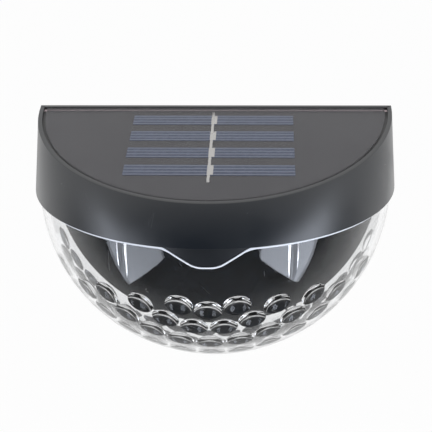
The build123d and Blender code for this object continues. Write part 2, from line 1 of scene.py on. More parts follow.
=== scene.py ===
# %% [markdown]
# # A half-moon fence light
# This lesson dresses a small solar light for a fence: a black band with a sloped solar panel on
# top, and a clear quarter-ball lens below it. The exact solids come first, as a fixed frame.
# Each visible piece is then modelled again in Blender, smooth and with its real finish, in
# metres and in the same place as its solid. The wall is the plane Y = 0, and the light stands
# out towards -Y.

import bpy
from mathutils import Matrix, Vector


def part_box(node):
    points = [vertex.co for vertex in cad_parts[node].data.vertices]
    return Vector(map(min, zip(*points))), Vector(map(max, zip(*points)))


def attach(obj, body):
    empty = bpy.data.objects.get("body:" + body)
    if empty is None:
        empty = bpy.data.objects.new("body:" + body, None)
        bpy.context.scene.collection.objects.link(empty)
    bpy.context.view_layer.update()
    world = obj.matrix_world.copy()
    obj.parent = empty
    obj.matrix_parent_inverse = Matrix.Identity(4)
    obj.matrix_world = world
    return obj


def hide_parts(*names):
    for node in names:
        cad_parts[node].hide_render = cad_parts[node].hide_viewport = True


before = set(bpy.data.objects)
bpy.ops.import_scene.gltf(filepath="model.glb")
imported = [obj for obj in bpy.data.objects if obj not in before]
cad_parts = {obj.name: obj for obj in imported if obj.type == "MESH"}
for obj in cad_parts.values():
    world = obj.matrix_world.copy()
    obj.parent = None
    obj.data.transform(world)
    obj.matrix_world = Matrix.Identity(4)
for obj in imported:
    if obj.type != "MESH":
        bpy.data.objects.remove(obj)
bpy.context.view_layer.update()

import bmesh
import bpy
from math import asin, atan2, cos, degrees, pi, radians, sin, sqrt, tan
from mathutils import Matrix, Vector

# %% [markdown]
# ## Sizes
# The large sizes are read off the frame, so the dressing always fits the solids. The small ones
# are what such mouldings measure. A millimetre is written as `MM`, because Blender counts in
# metres here.

# %% Sizes
MM = 0.001
NEAR = 0.001 * MM

housing_low, housing_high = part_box("top_housing")
lens_low, lens_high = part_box("lens")
plate_low, plate_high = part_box("back_plate")
sealant_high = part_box("panel_sealant")[1]
film_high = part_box("panel_film")[1]

band_radius = housing_high.x
band_straight = -housing_low.y - band_radius
housing_top = housing_high.z
rim_width = 1.4 * MM
rim_radius = sealant_high.x + rim_width
rim_straight = 1.0 * MM
top_slope = radians(12.7)
housing_wall = 2.0 * MM
recess_depth = 2.2 * MM
deck_depth = 3.8 * MM
panel_inset = rim_radius - film_high.x
film_thickness = 0.75 * MM
panel_drop = 0.25 * MM

lens_radius = min(lens_high.x, -lens_low.z)
lens_wall = 2.0 * MM
lens_inner = lens_radius - lens_wall
lip_height = lens_high.z

ARC_STEPS = 64
print("band radius", round(band_radius / MM, 2), "mm, lens radius", round(lens_radius / MM, 2), "mm")

# %% [markdown]
# ## Helpers for working as by hand
# Edit-mode operators act on whatever is selected. So each piece is woken alone first, and its
# corners, edges or faces are then picked by where they are.


# %% Helpers
def rest():
    """Leaves edit mode and selects nothing."""
    if bpy.context.object and bpy.context.object.mode != "OBJECT":
        bpy.ops.object.mode_set(mode="OBJECT")
    bpy.ops.object.select_all(action="DESELECT")


def wake(piece, mode="OBJECT"):
    """Makes one piece the only selected and active one."""
    rest()
    piece.select_set(True)
    bpy.context.view_layer.objects.active = piece
    if mode == "EDIT":
        bpy.ops.object.mode_set(mode="EDIT")


def keep_new(name):
    """Names the primitive that was just added and moves its place into its mesh."""
    piece = bpy.context.object
    piece.name = name
    piece.data.name = name
    bpy.ops.object.transform_apply(location=True, rotation=True, scale=True)
    return piece


def pick(piece, kind, rule):
    """Selects the corners (VERT), edges (EDGE) or faces (FACE) whose middle fits a rule."""
    bpy.ops.mesh.select_mode(type=kind)
    bpy.ops.mesh.select_all(action="DESELECT")
    mesh = bmesh.from_edit_mesh(piece.data)
    if kind == "VERT":
        for corner in mesh.verts:
            corner.select = bool(rule(corner.co))
    elif kind == "EDGE":
        for edge in mesh.edges:
            edge.select = bool(rule((edge.verts[0].co + edge.verts[1].co) / 2))
    else:
        for face in mesh.faces:
            face.select = bool(rule(face.calc_center_median()))
    mesh.select_flush_mode()
    bmesh.update_edit_mesh(piece.data)


def shift(piece, rule, offset):
    """Moves the corners that fit a rule."""
    wake(piece, "EDIT")
    pick(piece, "VERT", rule)
    bpy.ops.transform.translate(value=offset)
    bpy.ops.object.mode_set(mode="OBJECT")


def volume(piece):
    """The piece's volume in cubic millimetres, negative where its faces point inwards."""
    mesh = bmesh.new()
    mesh.from_mesh(piece.data)
    size = mesh.calc_volume(signed=True) / MM**3
    mesh.free()
    return round(size, 1)


def face_outwards(piece):
    """Turns all faces of a closed piece outwards, by its corners as they are now."""
    wake(piece, "EDIT")
    mesh = bmesh.from_edit_mesh(piece.data)
    mesh.normal_update()
    bmesh.update_edit_mesh(piece.data)
    bpy.ops.mesh.select_all(action="SELECT")
    bpy.ops.mesh.normals_make_consistent(inside=False)
    bpy.ops.object.mode_set(mode="OBJECT")
    if volume(piece) < 0:
        wake(piece, "EDIT")
        bpy.ops.mesh.select_all(action="SELECT")
        bpy.ops.mesh.flip_normals()
        bpy.ops.object.mode_set(mode="OBJECT")


def apply_modifier(piece, kind, **settings):
    """Adds a modifier with its settings and applies it."""
    wake(piece)
    modifier = piece.modifiers.new(kind.title(), kind)
    for key, value in settings.items():
        setattr(modifier, key, value)
    bpy.ops.object.modifier_apply(modifier=modifier.name)


def carve(piece, tool, how="DIFFERENCE"):
    """Cuts, joins or intersects a piece with a tool piece, which is used up."""
    apply_modifier(piece, "BOOLEAN", operation=how, solver="EXACT", object=tool)
    bpy.data.objects.remove(tool)


def round_edges(piece, kind, rule, width, segments=3):
    """Rounds the edges, or the edges of the faces, that fit a rule."""
    wake(piece, "EDIT")
    pick(piece, kind, rule)
    if kind == "FACE":
        bpy.ops.mesh.region_to_loop()
    bpy.ops.mesh.bevel(offset=width, segments=segments, affect="EDGES", clamp_overlap=True)
    bpy.ops.object.mode_set(mode="OBJECT")


def smooth(piece, angle=35):
    """Merges doubled corners and leaves curved walls smooth and real edges sharp."""
    wake(piece, "EDIT")
    bpy.ops.mesh.select_all(action="SELECT")
    bpy.ops.mesh.remove_doubles(threshold=0.002 * MM)
    face_outwards(piece)
    wake(piece)
    bpy.ops.object.shade_smooth_by_angle(angle=radians(angle))
    print(piece.name, len(piece.data.polygons), "faces,", volume(piece), "cubic mm")


def join(pieces, name):
    """Joins several pieces into one mesh."""
    rest()
    for piece in pieces:
        piece.select_set(True)
    bpy.context.view_layer.objects.active = pieces[0]
    if len(pieces) > 1:
        bpy.ops.object.join()
    pieces[0].name = name
    return pieces[0]


def copy_of(piece, name, place):
    """A copy with its own mesh, moved by a matrix."""
    twin = piece.copy()
    twin.data = piece.data.copy()
    twin.name = name
    twin.data.name = name
    twin.data.transform(place)
    bpy.context.scene.collection.objects.link(twin)
    return twin


def moved(x, y, z):
    """A matrix that moves by millimetres."""
    return Matrix.Translation((x * MM, y * MM, z * MM))


def block(name, low, high):
    """A box between two corners, used to cut with."""
    rest()
    bpy.ops.mesh.primitive_cube_add(size=1, location=(Vector(low) + Vector(high)) / 2)
    bpy.context.object.scale = Vector(high) - Vector(low)
    return keep_new(name)


def rod(name, radius, start, end, steps=48):
    """A round bar from one point to another along an axis, used to cut with or to build on."""
    along = Vector(end) - Vector(start)
    turn = Vector((0, 0, 1)).rotation_difference(along).to_euler()
    rest()
    bpy.ops.mesh.primitive_cylinder_add(
        vertices=steps,
        radius=radius,
        depth=along.length,
        location=(Vector(start) + Vector(end)) / 2,
        rotation=turn,
    )
    return keep_new(name)


# %% [markdown]
# ## Half-moon outlines
# Nearly everything here starts as a half moon: half a circle, a short straight run on each side,
# and a straight back on the wall. A circle is added, its rear half deleted, and its two loose
# ends are extruded back to the wall. Filling the line gives a flat face to extrude.


# %% Half moons
def half_moon(name, radius, straight, steps=ARC_STEPS):
    """A flat half-moon face at height 0, round towards -Y."""
    rest()
    bpy.ops.mesh.primitive_circle_add(vertices=2 * steps, radius=radius, location=(0, -straight, 0))
    piece = keep_new(name)
    wake(piece, "EDIT")
    pick(piece, "VERT", lambda p: p.y > -straight + NEAR)
    bpy.ops.mesh.delete(type="VERT")
    pick(piece, "VERT", lambda p: abs(p.y + straight) < NEAR)
    bpy.ops.mesh.extrude_vertices_move(TRANSFORM_OT_translate={"value": (0, straight, 0)})
    bpy.ops.mesh.select_all(action="SELECT")
    bpy.ops.mesh.edge_face_add()
    bpy.ops.object.mode_set(mode="OBJECT")
    return piece


def raise_face(piece, height):
    """Extrudes the whole flat face straight up, or down where the height is negative."""
    wake(piece, "EDIT")
    bpy.ops.mesh.select_all(action="SELECT")
    bpy.ops.mesh.extrude_region_move(TRANSFORM_OT_translate={"value": (0, 0, height)})
    face_outwards(piece)


def lay_on_slope(piece, depth):
    """Turns a piece made level at height 0 into the sloped top, a depth under the rim."""
    down = Matrix.Translation((0, 0, -depth))
    turn = Matrix.Rotation(top_slope, 4, "X")
    piece.data.transform(Matrix.Translation((0, 0, housing_top)) @ turn @ down)


def tapered_block(name, inset):
    """The band's block: a half moon drawn up from the seam and laid over at the sloped top."""
    body = half_moon(name, band_radius - inset, band_straight)
    raise_face(body, housing_top)
    shrink = (rim_radius - inset) / (band_radius - inset)
    turn = Matrix.Rotation(top_slope, 4, "X")
    wake(body, "EDIT")
    mesh = bmesh.from_edit_mesh(body.data)
    for corner in mesh.verts:
        if corner.co.z > housing_top / 2:
            on_wall = corner.co.y > -NEAR
            along = (corner.co.y + band_straight) * shrink - rim_straight
            flat = Vector((corner.co.x * shrink, 0 if on_wall else along, 0))
            corner.co = turn @ flat + Vector((0, 0, housing_top))
    bmesh.update_edit_mesh(body.data)
    face_outwards(body)
    return body


slope_normal = Vector((0, -sin(top_slope), cos(top_slope)))


def slope_point(depth):
    """A point on the wall plane that lies a depth under the sloped top."""
    return Vector((0, 0, housing_top - depth / cos(top_slope)))


def trim(piece, point, normal):
    """Cuts off all that lies beyond a plane, and closes the cut."""
    wake(piece, "EDIT")
    bpy.ops.mesh.select_all(action="SELECT")
    bpy.ops.mesh.bisect(plane_co=point, plane_no=normal, use_fill=True, clear_outer=True, threshold=NEAR)
    bpy.ops.object.mode_set(mode="OBJECT")


# %% [markdown]
# ## The band's tongue
# At the front the band dips into a notch of the lens with a short rounded tongue. Its outline
# starts as a plane, gets wings along the seam, and its corners are rounded by a corner bevel.
# Drawn a little larger, the same outline cuts the notch, and the painted highlight line along the
# lens edge is the strip between two such outlines.

# %% Tongue outline
tongue_half_width = 12.7 * MM
tongue_tip = 3.2 * MM
tongue_depth = 6.0 * MM
tongue_round = 6.0 * MM
tongue_shoulder = 8.0 * MM
tongue_gap = 0.3 * MM
tongue_lean = atan2(tongue_depth, tongue_half_width - tongue_tip)


def tongue_prism(name, gap, seam, wing):
    """An upright prism of the tongue's outline, drawn out by a gap, through the front."""
    low = -tongue_depth - gap
    top = 3 * MM
    half_low = tongue_tip + gap * tan(tongue_lean / 2)
    half_seam = half_low + (seam - low) / tan(tongue_lean)
    rest()
    bpy.ops.mesh.primitive_plane_add(size=2, location=(0, -band_radius * 1.2, 0), rotation=(pi / 2, 0, 0))
    prism = keep_new(name)
    wake(prism, "EDIT")
    mesh = bmesh.from_edit_mesh(prism.data)
    for corner in mesh.verts:
        high = corner.co.z > 0
        corner.co.x = (half_seam if high else half_low) * (1 if corner.co.x > 0 else -1)
        corner.co.z = seam if high else low
    bmesh.update_edit_mesh(prism.data)
    pick(prism, "EDGE", lambda p: abs(p.z - seam) < NEAR)
    bpy.ops.mesh.extrude_edges_move(TRANSFORM_OT_translate={"value": (0, 0, top - seam)})
    middle = (top + seam) / 2
    for side in (-1, 1):
        pick(prism, "EDGE", lambda p: abs(p.z - middle) < NEAR and p.x * side > half_seam / 2)
        aside = side * (wing - half_seam)
        bpy.ops.mesh.extrude_edges_move(TRANSFORM_OT_translate={"value": (aside, 0, 0)})
    bpy.ops.mesh.select_all(action="SELECT")
    bpy.ops.mesh.dissolve_faces()
    bpy.ops.mesh.select_mode(type="VERT")
    pick(prism, "VERT", lambda p: p.z < low + NEAR)
    bpy.ops.mesh.bevel(offset=(tongue_round + gap) * tan(tongue_lean / 2), segments=10, affect="VERTICES")
    pick(prism, "VERT", lambda p: abs(p.z - seam) < NEAR and abs(p.x) < half_seam + NEAR)
    bpy.ops.mesh.bevel(offset=(tongue_shoulder - gap) * tan(tongue_lean / 2), segments=10, affect="VERTICES")
    bpy.ops.mesh.select_all(action="SELECT")
    bpy.ops.mesh.extrude_region_move(TRANSFORM_OT_translate={"value": (0, band_radius * 0.7, 0)})
    face_outwards(prism)
    return prism


# %% [markdown]
# ## Quarter-ball shell
# The lens and the back of the tongue are parts of one quarter ball with a wall. A lathe is the
# natural tool: a quarter arc with its wall is drawn flat and spun half a turn about the Y axis.


# %% Quarter ball
def quarter_ball(name, outer, inner, steps=ARC_STEPS):
    """A quarter-ball shell below height 0, with a short straight run to the wall."""
    rest()
    bpy.ops.mesh.primitive_circle_add(vertices=4 * steps, radius=outer, location=(0, -band_straight, 0))
    shell = keep_new(name)
    wake(shell, "EDIT")
    pick(shell, "VERT", lambda p: p.y > -band_straight + NEAR or p.x < -NEAR)
    bpy.ops.mesh.delete(type="VERT")
    pick(shell, "VERT", lambda p: p.x > outer - NEAR)
    bpy.ops.mesh.extrude_vertices_move(TRANSFORM_OT_translate={"value": (0, band_straight, 0)})
    bpy.ops.mesh.select_all(action="SELECT")
    bpy.ops.mesh.extrude_edges_move(TRANSFORM_OT_translate={"value": (0, 0, 0)})
    mesh = bmesh.from_edit_mesh(shell.data)
    for corner in mesh.verts:
        if corner.select:
            beyond = min(0, corner.co.y + band_straight)
            shrink = inner / outer
            corner.co.x = corner.co.x * shrink
            corner.co.y = corner.co.y - beyond + beyond * shrink
    bmesh.update_edit_mesh(shell.data)
    bpy.ops.mesh.select_all(action="SELECT")
    bpy.ops.mesh.spin(
        steps=2 * steps, angle=pi, center=(0, 0, 0), axis=(0, 1, 0), use_normal_flip=False
    )
    bpy.ops.mesh.select_all(action="SELECT")
    bpy.ops.mesh.remove_doubles(threshold=0.005 * MM)
    mesh = bmesh.from_edit_mesh(shell.data)
    below = min(mesh.verts, key=lambda corner: corner.co.z).co.z
    if below > -outer / 2:
        for corner in mesh.verts:
            corner.co.z = -corner.co.z
    bmesh.update_edit_mesh(shell.data)
    face_outwards(shell)
    print(name, "lowest", round(min(v.co.z for v in shell.data.vertices) / MM, 2), "volume", volume(shell))
    return shell


# %% [markdown]
# ## The band and its sloped top
# One black moulding: a tapered wall, a thin rim round a recess for the panel, a floor, and the
# tongue. A solid block is drawn up and laid over. The recess is its top face, inset by the rim's
# width and pushed down, which keeps the mesh clean enough to round the rim. The room below is
# then cut out of it.

# %% Band block with its rim
band_housing = tapered_block("band_housing", 0)
wake(band_housing, "EDIT")
bpy.ops.mesh.select_mode(type="FACE")
bpy.ops.mesh.select_all(action="DESELECT")
mesh = bmesh.from_edit_mesh(band_housing.data)
for face in mesh.faces:
    face.select = face.normal.dot(slope_normal) > 0.999
bmesh.update_edit_mesh(band_housing.data)
bpy.ops.mesh.inset(thickness=rim_width, depth=0)
bpy.ops.mesh.extrude_region_move(TRANSFORM_OT_translate={"value": -recess_depth * slope_normal})
bpy.ops.object.mode_set(mode="OBJECT")


def on_slope(point, depth):
    """Says whether a point lies a depth under the sloped top."""
    return abs((point - Vector((0, 0, housing_top))).dot(slope_normal) + depth) < 5 * NEAR


rim_round = 0.55 * MM
round_edges(band_housing, "EDGE", lambda p: on_slope(p, 0), rim_round, 4)
round_edges(band_housing, "EDGE", lambda p: abs(p.z) < NEAR and p.y < -NEAR, 0.35 * MM)
print("rim rounded:", len(band_housing.data.polygons), "faces")

# %% Room under the panel, and the screw bosses in it
room = tapered_block("room", housing_wall)
trim(room, slope_point(deck_depth), slope_normal)
shift(room, lambda p: p.y > -NEAR, (0, 1 * MM, 0))
shift(room, lambda p: p.z < NEAR, (0, 0, -1 * MM))
carve(band_housing, room)

boss_radius = 2.8 * MM
boss_root = 0.4 * MM
screw_hole = 1.15 * MM
tray_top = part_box("battery_cradle")[0].z
tray_screw_spots = ((-46.0, -16.0), (46.0, -16.0), (-24.0, -46.0), (24.0, -46.0))
back_screw_spots = ((-49.5, 11.0), (0.0, 15.0), (49.5, 11.0))

bosses = []
for x, y in tray_screw_spots:
    bosses.append(
        rod("boss", boss_radius, (x * MM, y * MM, tray_top), (x * MM, y * MM, housing_top))
    )
for x, z in back_screw_spots:
    bosses.append(rod("boss", boss_radius, (x * MM, -3.0 * MM, z * MM), (x * MM, -11.5 * MM, z * MM)))
bosses = join(bosses, "bosses")
root_room = tapered_block("root_room", housing_wall - boss_root)
trim(root_room, slope_point(deck_depth - boss_root), slope_normal)
carve(bosses, root_room, "INTERSECT")
carve(band_housing, bosses, "UNION")
holes = []
for x, y in tray_screw_spots:
    holes.append(rod("hole", screw_hole, (x * MM, y * MM, 0), (x * MM, y * MM, tray_top + 7 * MM)))
for x, z in back_screw_spots:
    holes.append(rod("hole", screw_hole, (x * MM, 0, z * MM), (x * MM, -11 * MM, z * MM)))
plug_low, plug_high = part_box("lead_plug")
plug_x, plug_y = (plug_low.x + plug_high.x) / 2, (plug_low.y + plug_high.y) / 2
holes.append(rod("hole", 3.0 * MM, (plug_x, plug_y, plug_low.z - 1 * MM), (plug_x, plug_y, housing_top)))
carve(band_housing, join(holes, "holes"))
print("band with bosses:", len(band_housing.data.polygons), "faces")

# %% Tongue
tongue = quarter_ball("tongue", lens_radius, lens_inner)
carve(tongue, tongue_prism("tongue_outline", 0, 0, 18 * MM), "INTERSECT")
wake(tongue, "EDIT")
pick(tongue, "FACE", lambda p: p.z > -NEAR)
bpy.ops.mesh.extrude_region_move(TRANSFORM_OT_translate={"value": (0, 0, lip_height)})
face_outwards(tongue)
carve(band_housing, tongue, "UNION")
smooth(band_housing)
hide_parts("top_housing")
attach(band_housing, "light")

# %% [markdown]
# ## The lens
# A clear quarter ball with a wall of 2 mm. Outside it is smooth, and inside it carries rings of
# round pillow bumps that scatter the light, two upright ribs, and a lip that plugs into the
# band. One bump is modelled, copied along its rings and melted into the shell in one union, so
# the clear wall stays one closed skin, as light needs it.

# %% Lens shell and lip
clear_lens = quarter_ball("clear_lens", lens_radius, lens_inner)
lip_fit = 0.25 * MM
lip = half_moon("lip", band_radius - housing_wall - lip_fit, band_straight)
shift(lip, lambda p: True, (0, 0, -0.3 * MM))
raise_face(lip, lip_height + 0.3 * MM)
lip_room = half_moon("lip_room", lens_inner, band_straight)
shift(lip_room, lambda p: p.y > -NEAR, (0, 1 * MM, 0))
shift(lip_room, lambda p: True, (0, 0, -1 * MM))
raise_face(lip_room, lip_height + 3 * MM)
carve(lip, lip_room)
carve(clear_lens, lip, "UNION")

# %% Pillow bumps
bump_radius = 4.25 * MM
bump_ball = 7.0 * MM
bump_pitch = 9.1 * MM
bump_root = 0.08 * MM
bump_depth = 0.9 * MM
bump_ring_tilts = (23.5, 32.1, 42.2, 53.0, 63.6, 74.0, 84.2)
bump_ring_half_steps = (0, 1, 0, 0, 1, 0, 1)
bump_top = -18.5 * MM
bump_seat = sqrt(lens_inner**2 - bump_radius**2)
bump_centre = bump_seat + sqrt(bump_ball**2 - bump_radius**2)
bump_edge = bump_seat + bump_root

rest()
bpy.ops.mesh.primitive_uv_sphere_add(
    segments=32, ring_count=40, radius=bump_ball, location=(0, 0, bump_centre)
)
bump = keep_new("bump")
wake(bump, "EDIT")
bpy.ops.mesh.select_all(action="SELECT")
bpy.ops.mesh.bisect(plane_co=(0, 0, bump_edge), plane_no=(0, 0, 1), clear_outer=True)
pick(bump, "EDGE", lambda p: p.z > bump_edge - NEAR)
bpy.ops.mesh.extrude_edges_move(TRANSFORM_OT_translate={"value": (0, 0, bump_depth)})
bpy.ops.mesh.edge_face_add()
face_outwards(bump)
print("one bump:", volume(bump), "cubic mm")

bumps = []
for tilt, half_step in zip(bump_ring_tilts, bump_ring_half_steps):
    ring_radius = lens_inner * sin(radians(tilt))
    count = round(2 * pi * ring_radius / bump_pitch)
    for k in range(count):
        turn = 2 * pi * (k + half_step / 2) / count
        if -ring_radius * cos(turn) < bump_top:
            away = Vector((
                sin(radians(tilt)) * sin(turn),
                -cos(radians(tilt)),
                -sin(radians(tilt)) * cos(turn),
            ))
            aim = Vector((0, 0, 1)).rotation_difference(away).to_matrix().to_4x4()
            place = Matrix.Translation((0, -band_straight, 0)) @ aim
            bumps.append(copy_of(bump, "bump_copy", place))
bpy.data.objects.remove(bump)
print(len(bumps), "pillow bumps")
carve(clear_lens, join(bumps, "bumps"), "UNION")

# %% Ribs and notch
rib_radius = 1.6 * MM
rib_spread = 25.2 * MM
rib_length = 14.0 * MM
rib_bite = 1.35 * MM
rib_row = band_straight + sqrt(lens_inner**2 - rib_spread**2) + rib_bite - rib_radius
ribs = []
for side in (-1, 1):
    ribs.append(
        rod("rib", rib_radius, (side * rib_spread, -rib_row, -rib_length), (side * rib_spread, -rib_row, 0))
    )
ribs = join(ribs, "ribs")
carve(ribs, quarter_ball("rib_room", lens_inner + lens_wall / 2, lens_inner / 2), "INTERSECT")
carve(clear_lens, ribs, "UNION")
carve(clear_lens, tongue_prism("notch", tongue_gap, 0, 17 * MM))
smooth(clear_lens, 30)
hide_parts("lens")
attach(clear_lens, "light")

# %% [markdown]
# ## The painted highlight line
# The lens edge shows a thin bright line of light along the seam and round the tongue. Here it is
# painted: a strip of the shell's outer skin, cut out between two of the tongue's outlines, that
# carries a white finish in place of the light.

# %% Painted highlight line
painted_highlight_width = 0.48 * MM
painted_highlight_below = 1.03 * MM
painted_highlight_proud = 0.04 * MM
# Painted highlight: a white strip just proud of the lens stands in for the bright line of light along its edge.
painted_highlight_line = quarter_ball("painted_highlight_line", lens_radius + painted_highlight_proud, lens_radius - 0.5 * MM, 128)
outer_cut = tongue_prism("painted_highlight_outside", tongue_gap + painted_highlight_width, -painted_highlight_below, band_radius * 1.1)
shift(outer_cut, lambda p: p.y > -band_radius * 0.9, (0, band_radius, 0))
carve(painted_highlight_line, outer_cut, "INTERSECT")
inner_cut = tongue_prism("painted_highlight_inside", tongue_gap, 0, 17 * MM)
carve(painted_highlight_line, inner_cut)
smooth(painted_highlight_line)
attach(painted_highlight_line, "light")

# %% [markdown]
# ## Back cover
# A flat black plate closes the back. It has two keyholes to hang the light on screws, each with
# a closed pocket behind it, three wells that take the screws' heads, and the hole of the power
# button. The outline is half a disc with shoulders, extruded vertex by vertex.

# %% Back cover outline
plate_thickness = 2.0 * MM
plate_radius = lens_inner - 0.15 * MM
shoulder_height = lip_height + 0.25 * MM
plate_taper = (band_radius - rim_radius) / housing_top
plate_top = plate_high.z
plate_top_half = plate_high.x - plate_taper * (plate_top - shoulder_height)

rest()
bpy.ops.mesh.primitive_circle_add(vertices=4 * ARC_STEPS, radius=plate_radius, rotation=(pi / 2, 0, 0))
back_cover = keep_new("back_cover")
wake(back_cover, "EDIT")
pick(back_cover, "VERT", lambda p: p.z > NEAR)
bpy.ops.mesh.delete(type="VERT")
pick(back_cover, "VERT", lambda p: p.z > -NEAR)
bpy.ops.mesh.extrude_vertices_move(TRANSFORM_OT_translate={"value": (0, 0, shoulder_height)})
for half_width, height in ((plate_high.x, shoulder_height), (plate_top_half, plate_top)):
    bpy.ops.mesh.extrude_vertices_move(TRANSFORM_OT_translate={"value": (0, 0, 0)})
    mesh = bmesh.from_edit_mesh(back_cover.data)
    for corner in mesh.verts:
        if corner.select:
            corner.co.x = half_width if corner.co.x > 0 else -half_width
            corner.co.z = height
    bmesh.update_edit_mesh(back_cover.data)
bpy.ops.mesh.select_all(action="SELECT")
bpy.ops.mesh.edge_face_add()
bpy.ops.mesh.extrude_region_move(TRANSFORM_OT_translate={"value": (0, -plate_thickness, 0)})
face_outwards(back_cover)
round_edges(back_cover, "EDGE", lambda p: p.y > -NEAR, 0.25 * MM)

# %% Keyholes, wells and switch guides
keyhole_spread = 35.0 * MM
keyhole_height = 8.1 * MM
keyhole_entry = 4.0 * MM
keyhole_slot = 2.1 * MM
keyhole_travel = 5.0 * MM
keyhole_depth = 4.0 * MM
keyhole_wall = 1.0 * MM
well_radius = 2.5 * MM
well_depth = 1.8 * MM
well_wall = 1.2 * MM
well_end = well_depth + well_wall
button_radius = 3.0 * MM
button_fit = 0.3 * MM
collar_wall = 1.2 * MM
seal_radius = 5.0 * MM
seal_thickness = 0.8 * MM
switch_low, switch_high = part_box("switch_body")
switch_x = (switch_low.x + switch_high.x) / 2
switch_z = (switch_low.z + switch_high.z) / 2


def slot_bar(name, side, radius, start, end):
    """A bar with a long round section: a rod whose upper half is moved up by the travel."""
    x = side * keyhole_spread
    bar = rod(name, radius, (x, start, keyhole_height), (x, end, keyhole_height))
    shift(bar, lambda p: p.z > keyhole_height + NEAR, (0, 0, keyhole_travel))
    return bar


added = []
cut = []
for side in (-1, 1):
    x = side * keyhole_spread
    floor = -plate_thickness - keyhole_depth
    added.append(
        slot_bar("pocket_wall", side, keyhole_entry + keyhole_wall, -1 * MM, floor - keyhole_wall)
    )
    cut.append(slot_bar("pocket", side, keyhole_entry, -plate_thickness, floor))
    cut.append(slot_bar("slot", side, keyhole_slot, 1 * MM, -3 * MM))
    cut.append(
        rod("entry", keyhole_entry, (x, 1 * MM, keyhole_height), (x, -3 * MM, keyhole_height))
    )
    near_side = switch_x + side * 4.0 * MM
    far_side = near_side + side * collar_wall
    low = (min(near_side, far_side), switch_low.y, switch_low.z)
    high = (max(near_side, far_side), -1 * MM, switch_high.z)
    added.append(block("guide", low, high))
for x, z in back_screw_spots:
    added.append(rod("well_wall", well_radius + well_wall, (x * MM, -1 * MM, z * MM), (x * MM, -well_end, z * MM)))
    cut.append(rod("well", well_radius, (x * MM, 1 * MM, z * MM), (x * MM, -well_depth, z * MM)))
    cut.append(rod("well_hole", 1.4 * MM, (x * MM, -1 * MM, z * MM), (x * MM, -4 * MM, z * MM), 32))
collar_end = -plate_thickness - collar_wall
added.append(
    rod(
        "collar",
        button_radius + button_fit + collar_wall,
        (switch_x, -1 * MM, switch_z),
        (switch_x, collar_end, switch_z),
    )
)
cut.append(
    rod("button_hole", button_radius + button_fit, (switch_x, 1 * MM, switch_z), (switch_x, -4 * MM, switch_z))
)
cut.append(rod("seal_seat", seal_radius, (switch_x, 1 * MM, switch_z), (switch_x, -seal_thickness, switch_z)))
for piece in added:
    carve(back_cover, piece, "UNION")
for piece in cut:
    carve(back_cover, piece)
smooth(back_cover)
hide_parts("back_plate")
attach(back_cover, "light")

# %% [markdown]
# ## Panel laminate
# The strips lie under a thin see-through film with a rounded edge. Its outline is the rim's half
# moon, drawn in on all sides, and pockets on its underside take the strips.

# %% Panel laminate
cells_low, cells_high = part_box("solar_cells")
panel_laminate = half_moon("panel_laminate", rim_radius, rim_straight)
wake(panel_laminate, "EDIT")
bpy.ops.mesh.select_all(action="SELECT")
bpy.ops.mesh.inset(thickness=panel_inset, depth=0)
mesh = bmesh.from_edit_mesh(panel_laminate.data)
for face in mesh.faces:
    face.select = not face.select
bmesh.update_edit_mesh(panel_laminate.data)
bpy.ops.mesh.delete(type="FACE")
bpy.ops.mesh.select_all(action="SELECT")
bpy.ops.object.mode_set(mode="OBJECT")
raise_face(panel_laminate, film_thickness)
round_edges(panel_laminate, "EDGE", lambda p: p.z > film_thickness - NEAR, 0.4 * MM)

cell_rows = [-(8.7 + 10.35 * k) * MM for k in range(4)]
cell_length = 52.3 * MM
cell_width = 5.9 * MM
cell_shift = -0.15 * MM
cell_thickness = 0.2 * MM
film_gap = 0.05 * MM
for row in cell_rows:
    pocket = block(
        "pocket",
        (cell_shift - cell_length / 2 - film_gap, row - cell_width / 2 - film_gap, -1 * MM),
        (cell_shift + cell_length / 2 + film_gap, row + cell_width / 2 + film_gap, cell_thickness + film_gap),
    )
    carve(panel_laminate, pocket)
lay_on_slope(panel_laminate, panel_drop + film_thickness - 0.01 * MM)
smooth(panel_laminate)
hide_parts("panel_film")
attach(panel_laminate, "light")

# %% [markdown]
# ## Soldered ribbon
# A flat tinned ribbon ties the four strips together. Each strip carries a wider bus bar, and
# between the strips the solder stands in small uneven blobs. One bar and one blob are modelled
# and copied.

# %% Soldered ribbon
ribbon_width = 0.85 * MM
ribbon_thickness = 0.1 * MM
bus_width = 1.9 * MM
bus_shift = 0.4 * MM
ribbon_back = cell_rows[0] + cell_width / 2 + 2.2 * MM
ribbon_front = cell_rows[-1] - cell_width / 2 - 4.1 * MM

strip = block(
    "soldered_ribbon",
    (cell_shift - ribbon_width / 2, ribbon_front, cell_thickness),
    (cell_shift + ribbon_width / 2, ribbon_back, cell_thickness + ribbon_thickness),
)
round_edges(strip, "EDGE", lambda p: p.z > cell_thickness + ribbon_thickness - NEAR, 0.03 * MM, 2)
bus_bar = block(
    "bus_bar",
    (cell_shift + bus_shift - bus_width / 2, -cell_width / 2 + 0.2 * MM, cell_thickness),
    (cell_shift + bus_shift + bus_width / 2, cell_width / 2 - 0.2 * MM, cell_thickness + 0.06 * MM),
)
round_edges(bus_bar, "EDGE", lambda p: p.z > cell_thickness + 0.05 * MM, 0.02 * MM, 2)
rest()
bpy.ops.mesh.primitive_uv_sphere_add(segments=16, ring_count=10, radius=0.42 * MM)
blob = keep_new("blob")
blob.data.transform(Matrix.Diagonal((1, 1.5, 0.3, 1)))
wake(blob, "EDIT")
bpy.ops.mesh.select_all(action="SELECT")
bpy.ops.mesh.bisect(
    plane_co=(0, 0, 0.01 * MM), plane_no=(0, 0, -1), use_fill=True, clear_outer=True, threshold=NEAR
)
face_outwards(blob)
soldered = [strip]
